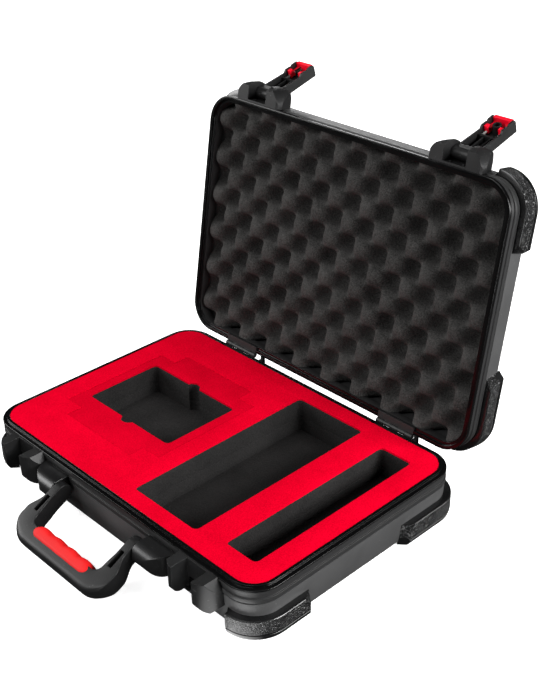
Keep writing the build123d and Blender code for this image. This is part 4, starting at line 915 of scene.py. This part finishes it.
def bow_curve(root, arm, corner, reach):
    """Half of one plan outline of the bow, from the end of its right arm to the middle of its bar: the boss,
    the straight root, a smooth flare, a straight, a round corner and the bar. Rows of x and distance along.

    The flare goes from root to arm as 3 t^2 - 2 t^3."""
    boss = -BOSS_RADIUS * np.cos(np.linspace(0.09, np.pi / 2, 9)[:-1])
    share = np.linspace(0, 1, 9)
    smooth = share**2 * (3 - 2 * share)
    turn = np.linspace(0, np.pi / 2, 13)
    low, high = FLARE[0], min(FLARE[1], reach - corner - 0.5)
    x = np.concatenate([np.full(10, root), root + (arm - root) * smooth, arm - corner + corner * np.cos(turn),
                        np.linspace(arm - corner, 0, 10)[1:]])
    along = np.concatenate([boss, [0, low / 2], low + (high - low) * share,
                            reach - corner + corner * np.sin(turn), np.full(9, reach)])
    return np.stack([x, along], axis=1)


def bow_stations():
    """Matching points of the inner and outer plan curves, from one arm's end round to the other's."""
    curves = [bow_curve(ROOT_INNER, ARM_INNER, BOW_INNER_CORNER, BAR_INNER),
              bow_curve(ROOT_OUTER, ARM_OUTER, BOW_CORNER, HANDLE_REACH)]
    return [np.concatenate([c, c[-2::-1] * [-1, 1]]) for c in curves]


def bow_section(width, bar):
    """Section of the bow between its inner side at 0 and its outer side at its width. bar goes from 0 on the
    arms to 1 on the bar, where the outer corners are rounder."""
    corners = [(0, HANDLE_UNDER), (width, HANDLE_UNDER), (width, HANDLE_TOP), (0, HANDLE_TOP)]
    return softened(corners, ARM_EDGES + (BAR_EDGES - ARM_EDGES) * bar, steps=6)


def handle_bow(name):
    """The section carried along the stations. Beyond the pivot its height follows the boss: w becomes
    m + (w - m) sqrt(1 - (v / r)^2), with m the boss's middle and r its radius."""
    inner, outer = bow_stations()
    width = np.linalg.norm(outer - inner, axis=1)
    bar = np.clip((outer[:, 1] - BAR_START) / BAR_BLEND, 0, 1)
    sections = np.array([bow_section(w, b) for w, b in zip(width, bar)])
    share = sections[:, :, 0] / width[:, None]
    plan = inner[:, None] + (outer - inner)[:, None] * share[:, :, None]
    past = np.clip(-plan[:, :, 1] / BOSS_RADIUS, 0, 1)
    level = BOSS_MIDDLE + (sections[:, :, 1] - BOSS_MIDDLE) * np.sqrt(1 - past**2)
    return carried_piece(name, np.dstack([plan, level]), place=on_handle, smooth_angle=40.0)


handle_plastic = moulded_plastic("handle plastic", (0.006, 0.006, 0.0062), (0.010, 0.010, 0.0102),
                                 rough=(0.34, 0.44), grain=(0.0007, 0.00001), round_edge=0.0006,
                                 specular=0.25)
bow = handle_bow("handle_bow")
arm_middle = (ROOT_INNER + ROOT_OUTER) / 2
slots = [((s * arm_middle - SLOT_HALF, SLOT_START, HANDLE_TOP - SLOT_DEPTH),
          (s * arm_middle + SLOT_HALF, SLOT_END, HANDLE_TOP + 1)) for s in (-1, 1)]
cut_away(bow, slots, place=on_handle)
finish_piece(bow, handle_plastic, "handle", "latch_plastic", "handle_frame")


# ---- Handle grip ----
# A sleeve of red rubber, moulded over the middle of the bar. It is rounded all over, with round ends, and has
# four soft lobes on its inner side between the fingers.

GRIP_HALF, GRIP_LOW, GRIP_HIGH = 49.0, 42.0, 60.5
GRIP_LOBES, LOBE_DEPTH = 4, 2.2
GRIP_TOP, GRIP_UNDER = 14.2, -10.2
GRIP_ROUND, END_HEIGHT = 0.34, 0.78


def grip_sleeve(name):
    """Rounded sections across the bar, one at each x. The inner side is
    low + depth (1 - sqrt((sin^2 + 0.01) / 1.01)), with the sine at zero between two lobes. Near the ends the
    section shrinks about its middle as sqrt(1 - t^2), so that the plan ends in half circles. The last
    sections lie just inside the ends, where they would shrink to nothing."""
    x = GRIP_HALF * np.sin(np.linspace(-np.pi / 2, np.pi / 2, 121)) * 0.9995
    wave = np.abs(np.sin(np.pi * GRIP_LOBES * (x + GRIP_HALF) / (2 * GRIP_HALF)))
    inner = GRIP_LOW + LOBE_DEPTH * (1 - np.sqrt(wave**2 + 0.01) / np.sqrt(1.01))
    middle, round_end = (GRIP_LOW + GRIP_HIGH) / 2, (GRIP_HIGH - GRIP_LOW) / 2
    past = np.clip((np.abs(x) - (GRIP_HALF - round_end)) / round_end, 0, 1)
    shrink = np.sqrt(1 - past**2)
    unit = softened([(0, 0), (1, 0), (1, 1), (0, 1)], GRIP_ROUND, steps=7)
    along = inner[:, None] + (GRIP_HIGH - inner)[:, None] * unit[:, 0]
    along = middle + (along - middle) * shrink[:, None]
    crown = GRIP_UNDER + (GRIP_TOP - GRIP_UNDER) * unit[:, 1]
    centre = (GRIP_TOP + GRIP_UNDER) / 2
    up = centre + (crown - centre) * (END_HEIGHT + (1 - END_HEIGHT) * np.sqrt(shrink[:, None]))
    grid = np.dstack([np.broadcast_to(x[:, None], along.shape), along, up])
    return carried_piece(name, grid, place=on_handle, smooth_angle=60.0)


grip_rubber = moulded_plastic("grip rubber", (0.55, 0.005, 0.006), (0.69, 0.008, 0.009),
                              rough=(0.50, 0.62), grain=(0.0005, 0.000012), dust=0.1, specular=0.2)
finish_piece(grip_sleeve("handle_grip_sleeve"), grip_rubber, "handle", "red_rubber", "handle_grip")


# ---- Studio ----
# A white sweep lit by seven soft boxes: the key on the right, a low one behind each end, one overhead, one on
# the left of the camera, a high one and a small low one in front. A small patch of the floor beside the front
# right corner glows for every ray but the camera's. It is painted light, seen as a painted reflection on the
# front right guard. The camera looks down on that corner.

scene = bpy.context.scene
scene.view_settings.view_transform = "Standard"
scene.view_settings.look = "None"


def seen_directly(wiring, seen, otherwise):
    """One value for what the camera sees directly, and another for light that bounces."""
    camera_ray = wiring.add("ShaderNodeLightPath").outputs["Is Camera Ray"]
    return wiring.spread(camera_ray, 0.0, 1.0, otherwise, seen)


world = bpy.data.worlds.new("studio")
world.use_nodes = True
scene.world = world
sky = Wiring(world.node_tree)
surroundings = world.node_tree.nodes["Background"]
sky.set(surroundings.inputs["Strength"], seen_directly(sky, 1.0, 0.012))
surroundings.inputs["Color"].default_value = (1.0, 1.0, 1.0, 1.0)

for name, place, target, width, height, power in (
    ("right_key", (2.0, 0.55, 1.15), (0.1, 0, 0.05), 1.1, 0.8, 84.0),
    ("low_behind_right", (1.6, 1.2, 0.35), (0.2, 0, 0.05), 1.2, 0.45, 12.0),
    ("overhead", (-0.3, 0.1, 2.2), (0, 0, 0.05), 1.3, 1.0, 8.0),
    ("low_behind_left", (-1.6, 1.9, 0.9), (0, 0.2, 0.4), 1.2, 0.5, 10.0),
    ("left_of_camera", (-1.8, -1.0, 0.9), (0, 0.1, 0.2), 1.2, 1.0, 36.0),
    ("high_in_front", (-0.5, -1.7, 1.6), (0, 0.1, 0.2), 1.1, 1.1, 26.0),
    ("low_in_front", (0.62, -1.05, 0.12), (0.23, -0.15, 0.02), 0.5, 0.16, 4.0),
):
    light = bpy.data.lights.new(name, "AREA")
    light.shape, light.size, light.size_y, light.energy = "RECTANGLE", width, height, power
    lamp = new_object(name, light)
    lamp.location = place
    lamp.rotation_euler = (Vector(target) - Vector(place)).to_track_quat("-Z", "Y").to_euler()

FLOOR_HALF, FLOOR_DROP = 6.0, -0.0002
GLOW_PATCH_MIDDLE, GLOW_PATCH_POWER = (0.22, -0.195, 0.0), 5.4
floor_mesh = bpy.data.meshes.new("floor")
floor_mesh.from_pydata([(x * FLOOR_HALF, y * FLOOR_HALF, FLOOR_DROP)
                        for x, y in ((-1, -1), (1, -1), (1, 1), (-1, 1))], [], [(0, 1, 2, 3)])
floor = new_object("floor", floor_mesh)
paper, wiring, into = surface("paper", Roughness=0.9, Specular_IOR_Level=0.0,
                              Emission_Color=(1.0, 1.0, 1.0, 1.0))
wiring.set(into["Base Color"], seen_directly(wiring, 0.96, 0.05))
# Painted light: a small patch of the floor glows for every ray but the camera's, and shows as a painted
# reflection on the front right guard.
from_glow_patch = wiring.vectors("DISTANCE", wiring.place(), GLOW_PATCH_MIDDLE)["Value"]
glow_patch = wiring.spread(from_glow_patch, 0.02, 0.05, GLOW_PATCH_POWER, 0.0)
from_middle = wiring.vectors("LENGTH", wiring.place())["Value"]
glow = wiring.spread(from_middle, 0.3, 1.8, 0.7, 0.95)
wiring.set(into["Emission Strength"], seen_directly(wiring, glow, glow_patch))
floor_mesh.materials.append(paper)

camera_data = bpy.data.cameras.new("camera")
camera_data.sensor_fit = "VERTICAL"
camera_data.sensor_height = 36.0
camera_data.lens = 59.229
camera = bpy.data.objects.new("camera", camera_data)
right = Vector((0.69111, 0.72249, -0.01947))
down = Vector((0.35062, -0.35871, -0.8651))
ahead = Vector((-0.63201, 0.59105, -0.50123))
turn = Matrix((right, -down, -ahead)).transposed()
camera.matrix_world = Matrix.Translation((0.8653, -0.7195, 0.8296)) @ turn.to_4x4()
scene.collection.objects.link(camera)
scene.camera = camera
